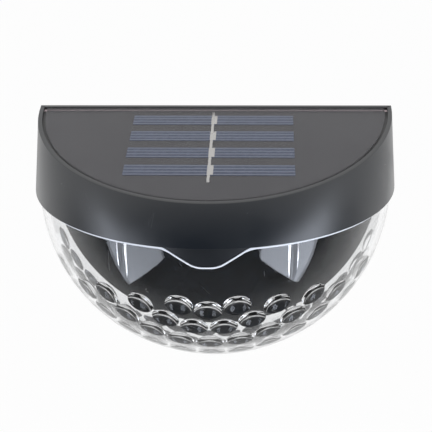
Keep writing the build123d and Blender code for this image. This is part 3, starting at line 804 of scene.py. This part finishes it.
for row in cell_rows:
    soldered.append(copy_of(bus_bar, "bus_copy", Matrix.Translation((0, row, 0))))
    for k in range(3):
        along = row - cell_width / 2 - (0.9 + 1.3 * k) * MM
        sideways = cell_shift + 0.12 * MM * (-1) ** k
        lift = Matrix.Translation((sideways, along, cell_thickness + 0.03 * MM))
        soldered.append(copy_of(blob, "blob_copy", lift))
bpy.data.objects.remove(bus_bar)
bpy.data.objects.remove(blob)
soldered_ribbon = join(soldered, "soldered_ribbon")
lay_on_slope(soldered_ribbon, panel_drop + film_thickness)
smooth(soldered_ribbon)
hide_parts("cell_ribbon")
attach(soldered_ribbon, "light")

# %% [markdown]
# ## Screws
# Small pan-head screws hold the tray, the board and the back cover. One is turned on a lathe: its
# half outline is drawn as a chain of extruded corners and spun once round. A tapered cross is
# pressed into the head.


# %% Pan-head screw
def lathe(name, outline, steps=32):
    """Spins a chain of (radius, height) points about the Z axis into a closed piece."""
    rest()
    bpy.ops.mesh.primitive_plane_add(size=1 * MM)
    piece = keep_new(name)
    wake(piece, "EDIT")
    bpy.ops.mesh.select_mode(type="VERT")
    bpy.ops.mesh.select_all(action="SELECT")
    bpy.ops.mesh.merge(type="CENTER")
    first = Vector((outline[0][0], 0, outline[0][1]))
    bpy.ops.transform.translate(value=first)
    for before, after in zip(outline, outline[1:]):
        step = (after[0] - before[0], 0, after[1] - before[1])
        bpy.ops.mesh.extrude_vertices_move(TRANSFORM_OT_translate={"value": step})
    bpy.ops.mesh.select_all(action="SELECT")
    bpy.ops.mesh.spin(steps=steps, angle=2 * pi, center=(0, 0, 0), axis=(0, 0, 1))
    bpy.ops.mesh.select_all(action="SELECT")
    bpy.ops.mesh.remove_doubles(threshold=0.002 * MM)
    face_outwards(piece)
    return piece


def pan_screw(name, length):
    """A screw with its head's underside at height 0, the shank up and the head down."""
    radius = 1.1 * MM
    head = 2.2 * MM
    outline = [(0, -1.5 * MM)]
    for k in range(1, 7):
        bow = k * pi / 12
        outline.append((head * sin(bow) ** 0.8, -0.55 * MM - 0.95 * MM * cos(bow)))
    outline += [(head, -0.1 * MM), (head - 0.1 * MM, 0), (radius, 0)]
    turns = int((length - 1.2 * MM) / (0.7 * MM))
    for k in range(turns):
        base = 0.3 * MM + k * 0.7 * MM
        outline += [(0.78 * radius, base + 0.15 * MM), (radius, base + 0.35 * MM)]
        outline += [(0.78 * radius, base + 0.55 * MM)]
    outline += [(0.5 * radius, length - 0.3 * MM), (0, length)]
    body = lathe(name, outline)
    for turned in (0, 1):
        arm = block(
            "cross_arm",
            (-1.15 * MM, -0.24 * MM, -2 * MM),
            (1.15 * MM, 0.24 * MM, -0.75 * MM),
        )
        wake(arm, "EDIT")
        pick(arm, "VERT", lambda p: p.z > -1 * MM)
        bpy.ops.transform.resize(value=(0.45, 0.8, 1), center_override=(0, 0, 0))
        bpy.ops.object.mode_set(mode="OBJECT")
        arm.data.transform(Matrix.Rotation(turned * pi / 2, 4, "Z"))
        carve(body, arm)
    return body


def set_of_screws(name, node, length, places):
    """Copies one screw to its places and joins the copies into one piece."""
    first = pan_screw(name + "_first", length)
    copies = [copy_of(first, name + "_copy", place) for place in places]
    bpy.data.objects.remove(first)
    piece = join(copies, name)
    smooth(piece)
    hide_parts(node)
    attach(piece, "light")
    return piece


tray_bottom = lip_height
board_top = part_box("driver_chip")[0].z
board_screws_low, board_screws_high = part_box("board_screws")
board_screw_row = (board_screws_low.y + board_screws_high.y) / 2
facing_back = Matrix.Rotation(pi / 2, 4, "X")
facing_up = Matrix.Rotation(pi, 4, "X")
cover_screws = set_of_screws(
    "cover_screws",
    "back_screws",
    8.0 * MM,
    [moved(x, -1.8, z) @ facing_back @ Matrix.Rotation(0.5 + x, 4, "Z") for x, z in back_screw_spots],
)
tray_fixings = set_of_screws(
    "tray_fixings",
    "tray_screws",
    8.6 * MM,
    [
        Matrix.Translation((x * MM, y * MM, tray_bottom)) @ Matrix.Rotation(0.3 * x, 4, "Z")
        for x, y in tray_screw_spots
    ],
)
board_fixings = set_of_screws(
    "board_fixings",
    "board_screws",
    3.9 * MM,
    [
        Matrix.Translation((x * MM, board_screw_row, board_top)) @ facing_up
        for x in (-26.0, 26.0)
    ],
)

# %% [markdown]
# ## Lights
# Six small square lights look down through the tray. Each is a white frame with a yellow patch
# of phosphor sunk into its face: a box whose lower face is inset and pushed in.

# %% Lights
leds_low, leds_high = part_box("leds")
light_pitch = 13.0 * MM
light_row = -35.0 * MM
one_light = block(
    "one_light",
    (-1.75 * MM, light_row - 1.4 * MM, leds_low.z),
    (1.75 * MM, light_row + 1.4 * MM, leds_high.z),
)
round_edges(one_light, "EDGE", lambda p: p.z < leds_high.z - NEAR, 0.12 * MM, 2)
wake(one_light, "EDIT")
pick(one_light, "FACE", lambda p: p.z < leds_low.z + NEAR)
bpy.ops.mesh.inset(thickness=0.35 * MM, depth=0)
bpy.ops.mesh.extrude_region_move(TRANSFORM_OT_translate={"value": (0, 0, 0.15 * MM)})
bpy.ops.object.mode_set(mode="OBJECT")
lights = []
for k in range(6):
    lights.append(copy_of(one_light, "light_copy", Matrix.Translation(((k - 2.5) * light_pitch, 0, 0))))
bpy.data.objects.remove(one_light)
board_lights = join(lights, "board_lights")
smooth(board_lights)
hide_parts("leds")
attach(board_lights, "light")

# %% [markdown]
# ## Power button
# The button is a small turned plug: a dished round face with a rounded rim, and a thin stem that
# pushes the switch. It is lathed like the screws and laid down to face the wall.

# %% Power button
button_low, button_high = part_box("switch_button")
stem_radius = 1.5 * MM
head_length = 2.4 * MM
total = button_high.y - button_low.y
outline = [(0, -0.35 * MM), (1.2 * MM, -0.3 * MM), (2.0 * MM, -0.12 * MM), (2.35 * MM, 0)]
for k in range(5):
    bow = k * pi / 8
    outline.append((button_radius - 0.45 * MM + 0.45 * MM * sin(bow), -0.45 * MM * (1 - cos(bow))))
outline += [(button_radius, -head_length), (stem_radius, -head_length), (stem_radius, -total + 0.2 * MM)]
outline += [(stem_radius - 0.2 * MM, -total), (0, -total)]
power_button = lathe("power_button", outline, 48)
lay = Matrix.Translation((switch_x, button_high.y, switch_z)) @ Matrix.Rotation(-pi / 2, 4, "X")
power_button.data.transform(lay)
smooth(power_button)
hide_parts("switch_button")
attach(power_button, "button")
print("button at rest from", button_low, "to", button_high)

# %% [markdown]
# ## Finishes
# Every finish is a Principled shader with plain values, and small effects on top of it: grain
# from the mould, dust specks and hairline scratches. The effects are node groups, so that each
# finish can use them at its own scale. They read Object coordinates, which are metres here, and
# put out masks and heights only.


# %% Node helpers
def new_material(name, colour, roughness, metallic=0.0):
    """A material with one Principled shader and its plain values."""
    material = bpy.data.materials.new(name)
    material.use_nodes = True
    shader = material.node_tree.nodes["Principled BSDF"]
    shader.inputs["Base Color"].default_value = (*colour, 1)
    shader.inputs["Roughness"].default_value = roughness
    shader.inputs["Metallic"].default_value = metallic
    return material, shader


def node(tree, kind, **settings):
    """Adds a node. Its settings are properties, or inputs where the name has a capital."""
    made = tree.nodes.new("ShaderNode" + kind)
    for key, value in settings.items():
        if key[0].isupper():
            made.inputs[key.replace("_", " ")].default_value = value
        else:
            setattr(made, key, value)
    return made


def maths(tree, operation, first, second=None, third=None):
    """A Math node on numbers or sockets, which gives back its output."""
    made = tree.nodes.new("ShaderNodeMath")
    made.operation = operation
    for place, value in enumerate((first, second, third)):
        if value is None:
            continue
        if isinstance(value, (int, float)):
            made.inputs[place].default_value = value
        else:
            tree.links.new(value, made.inputs[place])
    return made.outputs[0]


def ramp(tree, value, start, end, low=0.0, high=1.0):
    """Turns a value between start and end into one between low and high."""
    made = node(tree, "MapRange", interpolation_type="SMOOTHSTEP")
    for place, number in zip(("From Min", "From Max", "To Min", "To Max"), (start, end, low, high)):
        made.inputs[place].default_value = number
    tree.links.new(value, made.inputs["Value"])
    return made.outputs["Result"]


def new_group(name, inputs, outputs):
    """A node group with named number inputs and outputs."""
    tree = bpy.data.node_groups.new(name, "ShaderNodeTree")
    for label, value in inputs:
        socket = tree.interface.new_socket(label, in_out="INPUT", socket_type="NodeSocketFloat")
        socket.default_value = value
    for label in outputs:
        tree.interface.new_socket(label, in_out="OUTPUT", socket_type="NodeSocketFloat")
    return tree, tree.nodes.new("NodeGroupInput"), tree.nodes.new("NodeGroupOutput")


def use_group(tree, group, **values):
    """Places a node group in a material with its own values."""
    made = tree.nodes.new("ShaderNodeGroup")
    made.node_tree = group
    for key, value in values.items():
        made.inputs[key.replace("_", " ")].default_value = value
    return made


# %% Mould grain
mould_grain, grain_in, grain_out = new_group("mould_grain", [("Scale", 2500.0)], ["Height", "Patches"])
grain_place = node(mould_grain, "TexCoord")
grain_fine = node(mould_grain, "TexNoise", Detail=3.0, Roughness=0.6)
grain_wide = node(mould_grain, "TexNoise", Scale=60.0, Detail=4.0)
mould_grain.links.new(grain_place.outputs["Object"], grain_fine.inputs["Vector"])
mould_grain.links.new(grain_place.outputs["Object"], grain_wide.inputs["Vector"])
mould_grain.links.new(grain_in.outputs["Scale"], grain_fine.inputs["Scale"])
mould_grain.links.new(grain_fine.outputs["Fac"], grain_out.inputs["Height"])
patches = ramp(mould_grain, grain_wide.outputs["Fac"], 0.35, 0.65)
mould_grain.links.new(patches, grain_out.inputs["Patches"])

# %% Dust specks
dust_specks, dust_in, dust_out = new_group("dust_specks", [("Scale", 420.0), ("Size", 0.1)], ["Specks"])
dust_place = node(dust_specks, "TexCoord")
dust_cells = node(dust_specks, "TexVoronoi", Randomness=1.0)
dust_specks.links.new(dust_place.outputs["Object"], dust_cells.inputs["Vector"])
dust_specks.links.new(dust_in.outputs["Scale"], dust_cells.inputs["Scale"])
chance = node(dust_specks, "SeparateColor")
dust_specks.links.new(dust_cells.outputs["Color"], chance.inputs["Color"])
rare = maths(dust_specks, "GREATER_THAN", chance.outputs["Red"], 0.93)
reach = maths(dust_specks, "MULTIPLY", chance.outputs["Green"], dust_in.outputs["Size"])
inside = maths(dust_specks, "LESS_THAN", dust_cells.outputs["Distance"], reach)
dust_specks.links.new(maths(dust_specks, "MULTIPLY", rare, inside), dust_out.inputs["Specks"])

# %% Hairline scratches
hairlines, hair_in, hair_out = new_group("hairlines", [("Scale", 90.0), ("Width", 0.004)], ["Lines"])
hair_place = node(hairlines, "TexCoord")
total = None
for turned in (0.4, 1.9):
    laid = node(hairlines, "Mapping", Rotation=(0.2, 0.1, turned), Scale=(1.0, 0.2, 1.0))
    hairlines.links.new(hair_place.outputs["Object"], laid.inputs["Vector"])
    cracks = node(hairlines, "TexVoronoi", feature="DISTANCE_TO_EDGE", Randomness=1.0)
    hairlines.links.new(laid.outputs["Vector"], cracks.inputs["Vector"])
    hairlines.links.new(hair_in.outputs["Scale"], cracks.inputs["Scale"])
    thin = maths(hairlines, "LESS_THAN", cracks.outputs["Distance"], hair_in.outputs["Width"])
    breaks = node(hairlines, "TexNoise", Scale=180.0, Detail=1.0)
    hairlines.links.new(hair_place.outputs["Object"], breaks.inputs["Vector"])
    part = maths(hairlines, "GREATER_THAN", breaks.outputs["Fac"], 0.68)
    line = maths(hairlines, "MULTIPLY", thin, part)
    total = line if total is None else maths(hairlines, "MAXIMUM", total, line)
hairlines.links.new(total, hair_out.inputs["Lines"])
print("effects:", [group.name for group in bpy.data.node_groups])


# %% Common finish
def dress(tree, shader, colour, dusty, roughness, spread, grain, bump, speck_size=0.1):
    """Adds grain, worn patches, dust and scratches to a finish."""
    skin = use_group(tree, mould_grain, Scale=grain)
    dust = use_group(tree, dust_specks, Size=speck_size)
    lines = use_group(tree, hairlines)
    rough = ramp(tree, skin.outputs["Patches"], 0, 1, roughness - spread, roughness + spread)
    tree.links.new(rough, shader.inputs["Roughness"])
    marks = maths(tree, "MAXIMUM", dust.outputs["Specks"], maths(tree, "MULTIPLY", lines.outputs["Lines"], 0.08))
    tint = node(tree, "MixRGB", Color1=(*colour, 1), Color2=(*dusty, 1))
    tree.links.new(marks, tint.inputs["Fac"])
    tree.links.new(tint.outputs["Color"], shader.inputs["Base Color"])
    relief = node(tree, "Bump", Strength=bump, Distance=0.00002)
    tree.links.new(skin.outputs["Height"], relief.inputs["Height"])
    tree.links.new(relief.outputs["Normal"], shader.inputs["Normal"])
    return tint


def plain_finish(name, colour, roughness, metallic=0.0, spread=0.06, grain=2500.0, bump=0.3, dusty=None):
    """A solid finish with grain, patches, dust and scratches."""
    material, shader = new_material(name, colour, roughness, metallic)
    pale = dusty or tuple(min(1, 0.5 * tone + 0.25) for tone in colour)
    dress(material.node_tree, shader, colour, pale, roughness, spread, grain, bump)
    return material


def cover(piece, *materials):
    """Gives a piece its materials in place of any it has."""
    piece.data.materials.clear()
    for material in materials:
        piece.data.materials.append(material)


# %% [markdown]
# ### Black mouldings
# The band, the back cover and the inner parts are satin black with a faint blue tint. The band
# is the smoothest, so that its flanks mirror the white room.

# %% Black mouldings
black_band = plain_finish("black_band", (0.005, 0.007, 0.01), 0.32, spread=0.03, bump=0.15)
black_back = plain_finish("black_back", (0.005, 0.007, 0.01), 0.27, spread=0.04, bump=0.2)
black_inside = plain_finish("black_inside", (0.015, 0.015, 0.016), 0.5, spread=0.05, bump=0.3)
black_band.node_tree.nodes["Principled BSDF"].inputs["Specular IOR Level"].default_value = 0.8
black_back.node_tree.nodes["Principled BSDF"].inputs["Specular IOR Level"].default_value = 0.12
cover(band_housing, black_band)
cover(back_cover, black_back)
for name in ("led_tray", "battery_cradle"):
    cover(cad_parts[name], black_inside)

# %% [markdown]
# ### Clear lens and its painted highlight line
# Clear acrylic bends light at 1.49. A trace of tint and a few specks keep it real. The bright line
# along the lens edge is painted highlight, so it is white and half matt.

# %% Clear lens
clear_acrylic, acrylic = new_material("clear_acrylic", (0.985, 0.99, 0.995), 0.015)
acrylic.inputs["Transmission Weight"].default_value = 1.0
acrylic.inputs["IOR"].default_value = 1.49
lens_tree = clear_acrylic.node_tree
lens_dust = use_group(lens_tree, dust_specks, Scale=180.0, Size=0.08)
lens_lines = use_group(lens_tree, hairlines, Scale=60.0, Width=0.002)
lens_marks = maths(lens_tree, "MAXIMUM", lens_dust.outputs["Specks"], lens_lines.outputs["Lines"])
lens_tree.links.new(ramp(lens_tree, lens_marks, 0, 1, 0.015, 0.35), acrylic.inputs["Roughness"])
cover(clear_lens, clear_acrylic)

# Painted highlight: white, half-matt colour in place of the bright line of light along the lens edge.
painted_highlight_white = plain_finish("painted_highlight_white", (0.66, 0.68, 0.72), 0.4, spread=0.05, bump=0.1)
cover(painted_highlight_line, painted_highlight_white)

# %% [markdown]
# ### Solar panel
# The film is smoky and lets the strips show through. Silicon is a dark blue-grey with four pale
# silver finger lines on each strip: the distance down the slope is folded by the pitch of the
# strips and again by the pitch of the lines.

# %% Panel film and board
smoky_film, film = new_material("smoky_film", (0.14, 0.137, 0.146), 0.34)
film.inputs["Alpha"].default_value = 0.32
dress(smoky_film.node_tree, film, (0.14, 0.137, 0.146), (0.9, 0.9, 0.9), 0.34, 0.02, 2500.0, 0.01, 0.09)
cover(panel_laminate, smoky_film)
cover(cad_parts["panel_board"], plain_finish("panel_backing", (0.08, 0.079, 0.085), 0.5, bump=0.04))

# %% Silicon strips
silicon, silicon_shader = new_material("silicon", (0.03, 0.04, 0.09), 0.3)
strips = silicon.node_tree
strip_place = node(strips, "TexCoord")
down_slope = node(strips, "VectorMath", operation="DOT_PRODUCT")
down_slope.inputs[1].default_value = (0, -cos(top_slope), -sin(top_slope))
strips.links.new(strip_place.outputs["Object"], down_slope.inputs[0])
down = maths(strips, "ADD", down_slope.outputs["Value"], housing_top * sin(top_slope))
strip_pitch = cell_rows[0] - cell_rows[1]
finger_pitch = 1.7 * MM
turns = maths(strips, "DIVIDE", maths(strips, "ADD", down, cell_rows[0]), strip_pitch)
folded = maths(strips, "MULTIPLY", maths(strips, "SUBTRACT", turns, maths(strips, "ROUND", turns)), strip_pitch)
fingers = maths(strips, "DIVIDE", maths(strips, "ADD", folded, finger_pitch / 2), finger_pitch)
off_line = maths(strips, "ABSOLUTE", maths(strips, "SUBTRACT", fingers, maths(strips, "ROUND", fingers)))
line_mask = ramp(strips, off_line, 0.05, 0.13, 1.0, 0.0)
crystal = node(strips, "TexNoise", Scale=900.0, Detail=5.0)
strips.links.new(strip_place.outputs["Object"], crystal.inputs["Vector"])
sparkle = node(strips, "MixRGB", Color1=(0.04, 0.075, 0.17, 1), Color2=(0.075, 0.115, 0.23, 1))
strips.links.new(ramp(strips, crystal.outputs["Fac"], 0.4, 0.62), sparkle.inputs["Fac"])
fingered = node(strips, "MixRGB", Color2=(0.36, 0.4, 0.5, 1))
strips.links.new(line_mask, fingered.inputs["Fac"])
strips.links.new(sparkle.outputs["Color"], fingered.inputs["Color1"])
strips.links.new(fingered.outputs["Color"], silicon_shader.inputs["Base Color"])
cover(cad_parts["solar_cells"], silicon)

# %% Solder, sealant and rubber
tinned = plain_finish("tinned", (0.92, 0.9, 0.87), 0.35, 0.7, spread=0.1, grain=1500.0, bump=0.4)
cover(soldered_ribbon, tinned)
black_sealant, sealant_shader = new_material("black_sealant", (0.01, 0.01, 0.011), 0.45)
sealant_tree = black_sealant.node_tree
sealant_tint = dress(
    sealant_tree, sealant_shader, (0.01, 0.01, 0.011), (0.3, 0.3, 0.3), 0.45, 0.06, 2500.0, 0.8
)
# Painted highlight: the sealant turns pale pink along the back, behind the film's back edge, in place of the thin
# bright line that edge shows.
sealant_place = node(sealant_tree, "TexCoord")
sealant_axes = node(sealant_tree, "SeparateXYZ")
sealant_tree.links.new(sealant_place.outputs["Object"], sealant_axes.inputs["Vector"])
painted_highlight_back = ramp(sealant_tree, sealant_axes.outputs["Y"], -panel_inset - 0.3 * MM, -panel_inset, 0.0, 1.0)
painted_highlight_seal = node(sealant_tree, "MixRGB", Color2=(0.75, 0.62, 0.64, 1))
sealant_tree.links.new(painted_highlight_back, painted_highlight_seal.inputs["Fac"])
sealant_tree.links.new(sealant_tint.outputs["Color"], painted_highlight_seal.inputs["Color1"])
sealant_tree.links.new(painted_highlight_seal.outputs["Color"], sealant_shader.inputs["Base Color"])
cover(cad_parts["panel_sealant"], black_sealant)
cover(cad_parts["button_seal"], plain_finish("seal_rubber", (0.02, 0.02, 0.02), 0.6, bump=0.6))
cover(power_button, plain_finish("button_plastic", (0.02, 0.02, 0.022), 0.32))

# %% [markdown]
# ### Metal and inner parts
# Screws are zinc plated, contacts nickel plated, and the board is white so that it throws the
# light down.

# %% Metal and inner parts
zinc = plain_finish("zinc", (0.55, 0.56, 0.58), 0.33, 1.0, spread=0.1, grain=1200.0, bump=0.5)
nickel = plain_finish("nickel", (0.72, 0.7, 0.66), 0.22, 1.0, spread=0.06)
for piece in (cover_screws, tray_fixings, board_fixings):
    cover(piece, zinc)
inner_finishes = {
    "led_board": plain_finish("white_board", (0.78, 0.79, 0.77), 0.35, grain=1500.0),
    "switch_body": plain_finish("switch_black", (0.03, 0.03, 0.03), 0.4),
    "driver_chip": plain_finish("chip_black", (0.02, 0.02, 0.021), 0.55),
    "inductor": plain_finish("coil_lacquer", (0.09, 0.075, 0.06), 0.35),
    "capacitor": plain_finish("can_aluminium", (0.6, 0.62, 0.65), 0.3, 0.9),
    "battery": plain_finish("green_sleeve", (0.05, 0.25, 0.09), 0.3, bump=0.1),
    "contact_plate": nickel,
    "contact_spring": nickel,
    "lead_plug": plain_finish("clear_silicone", (0.7, 0.7, 0.66), 0.45),
    "panel_lead_red": plain_finish("red_insulation", (0.5, 0.02, 0.02), 0.35),
    "panel_lead_black": plain_finish("black_insulation", (0.015, 0.015, 0.015), 0.35),
}
inner_finishes["battery_lead_red"] = inner_finishes["panel_lead_red"]
inner_finishes["battery_lead_black"] = inner_finishes["panel_lead_black"]
inner_finishes["switch_leads"] = inner_finishes["panel_lead_red"]
for name, finish in inner_finishes.items():
    cover(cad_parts[name], finish)

# %% Lights
light_frame = plain_finish("light_frame", (0.8, 0.8, 0.78), 0.4, bump=0.1)
phosphor = plain_finish("phosphor", (0.85, 0.62, 0.12), 0.5, grain=6000.0, bump=0.4)
cover(board_lights, light_frame, phosphor)
for face in board_lights.data.polygons:
    if face.normal.z < -0.9 and face.center.z > leds_low.z + 0.1 * MM:
        face.material_index = 1

# %% [markdown]
# ## Camera, light and floor
# The camera stands where the photograph was taken from. The light hangs on nothing here, as in
# the photograph, over a pale floor well below it.

# %% Camera
camera_data = bpy.data.cameras.new("camera")
camera = bpy.data.objects.new("camera", camera_data)
bpy.context.scene.collection.objects.link(camera)
bpy.context.scene.camera = camera
azimuth = radians(3.01)
elevation = radians(20.90)
roll = radians(-0.77)
distance = 337.78 * MM
target = Vector((0, -26.67 * MM, 0))
towards = Vector((
    sin(azimuth) * cos(elevation),
    -cos(azimuth) * cos(elevation),
    sin(elevation),
))
camera.location = target + distance * towards
camera.rotation_euler = (
    towards.to_track_quat("Z", "Y").to_matrix() @ Matrix.Rotation(roll, 3, "Z")
).to_euler()
frame_pixels = 432
focal_pixels = 1058.74
middle_x, middle_y = 211.83, 202.92
camera_data.sensor_width = 36
camera_data.lens = focal_pixels / frame_pixels * 36
camera_data.shift_x = (frame_pixels / 2 - middle_x) / frame_pixels
camera_data.shift_y = (middle_y - frame_pixels / 2) / frame_pixels
camera_data.clip_start = 0.01
print("lens", round(camera_data.lens, 1), "mm")

# %% [markdown]
# ## Studio
# The photograph was taken in a white room with the dark camera side in front. So the world is
# white all round, and fades to dark grey towards the camera's side: this gives the black band
# its dark middle and its pale flanks. What the camera sees directly, or through the clear lens,
# stays plain white.

# %% Studio world
world = bpy.data.worlds.new("studio")
bpy.context.scene.world = world
world.use_nodes = True
sky = world.node_tree
backdrop = sky.nodes["Background"]
backdrop.inputs["Strength"].default_value = 1.0
directions = sky.nodes.new("ShaderNodeTexCoord")
facing = sky.nodes.new("ShaderNodeVectorMath")
facing.operation = "DOT_PRODUCT"
facing.inputs[1].default_value = Vector((0.0, -0.95, -0.3)).normalized()
sky.links.new(directions.outputs["Generated"], facing.inputs[0])
open_side = ramp(sky, facing.outputs["Value"], 0.25, 0.72, 1.0, 0.0)
sky_paths = sky.nodes.new("ShaderNodeLightPath")
white = maths(sky, "MAXIMUM", open_side, sky_paths.outputs["Is Camera Ray"])
sides = node(sky, "MixRGB", Color1=(0.025, 0.04, 0.065, 1), Color2=(1, 1, 1, 1))
sky.links.new(white, sides.inputs["Fac"])
sky.links.new(sides.outputs["Color"], backdrop.inputs["Color"])

# %% Floor
rest()
bpy.ops.mesh.primitive_plane_add(size=40, location=(0, 0, -0.4))
floor = keep_new("floor")
floor_paint, floor_shader = new_material("floor_paint", (0.9, 0.9, 0.9), 0.8)
floor_tree = floor_paint.node_tree
glow = floor_tree.nodes.new("ShaderNodeEmission")
blend = floor_tree.nodes.new("ShaderNodeMixShader")
floor_paths = floor_tree.nodes.new("ShaderNodeLightPath")
floor_place = floor_tree.nodes.new("ShaderNodeTexCoord")
floor_axes = floor_tree.nodes.new("ShaderNodeSeparateXYZ")
link = floor_tree.links.new
link(floor_place.outputs["Object"], floor_axes.inputs["Vector"])
mirrored_floor = ramp(floor_tree, floor_axes.outputs["Y"], -0.15, 0.35, 0.06, 1.0)
seen_through = ramp(floor_tree, floor_axes.outputs["Y"], -0.3, -0.02, 0.1, 1.0)
seen_through = maths(floor_tree, "MULTIPLY", seen_through, floor_paths.outputs["Is Transmission Ray"])
behind = maths(floor_tree, "MAXIMUM", mirrored_floor, seen_through)
bright = maths(floor_tree, "MAXIMUM", behind, floor_paths.outputs["Is Camera Ray"])
link(bright, glow.inputs["Strength"])
mirrored = maths(floor_tree, "MAXIMUM", floor_paths.outputs["Is Glossy Ray"], floor_paths.outputs["Is Transmission Ray"])
shown = maths(floor_tree, "MAXIMUM", mirrored, floor_paths.outputs["Is Camera Ray"])
link(maths(floor_tree, "MULTIPLY", shown, 0.9), blend.inputs["Fac"])
link(floor_shader.outputs["BSDF"], blend.inputs[1])
link(glow.outputs["Emission"], blend.inputs[2])
link(blend.outputs["Shader"], floor_tree.nodes["Material Output"].inputs["Surface"])
floor.data.materials.append(floor_paint)

bpy.context.scene.view_settings.view_transform = "Standard"

# %% [markdown]
# Two upright soft boxes stand left and right, just outside the picture. They brighten the
# flanks of the band, and their inner edges show as two grey patches in the clear lens.

# %% Soft boxes
box_depth, box_height = 0.345, 0.38
for side, power in ((-1, 1.2), (1, 1.7)):
    lamp_data = bpy.data.lights.new("soft_box", "AREA")
    lamp_data.shape = "RECTANGLE"
    lamp_data.size = box_depth
    lamp_data.size_y = box_height
    lamp_data.energy = power
    lamp_data.color = (0.82, 0.88, 1.0)
    lamp = bpy.data.objects.new("soft_box", lamp_data)
    lamp.location = (side * 0.28, -0.31, -0.13)
    lamp.rotation_euler = (pi / 2, 0, side * pi / 2)
    bpy.context.scene.collection.objects.link(lamp)
print("two soft boxes of", box_depth, "by", box_height, "m")
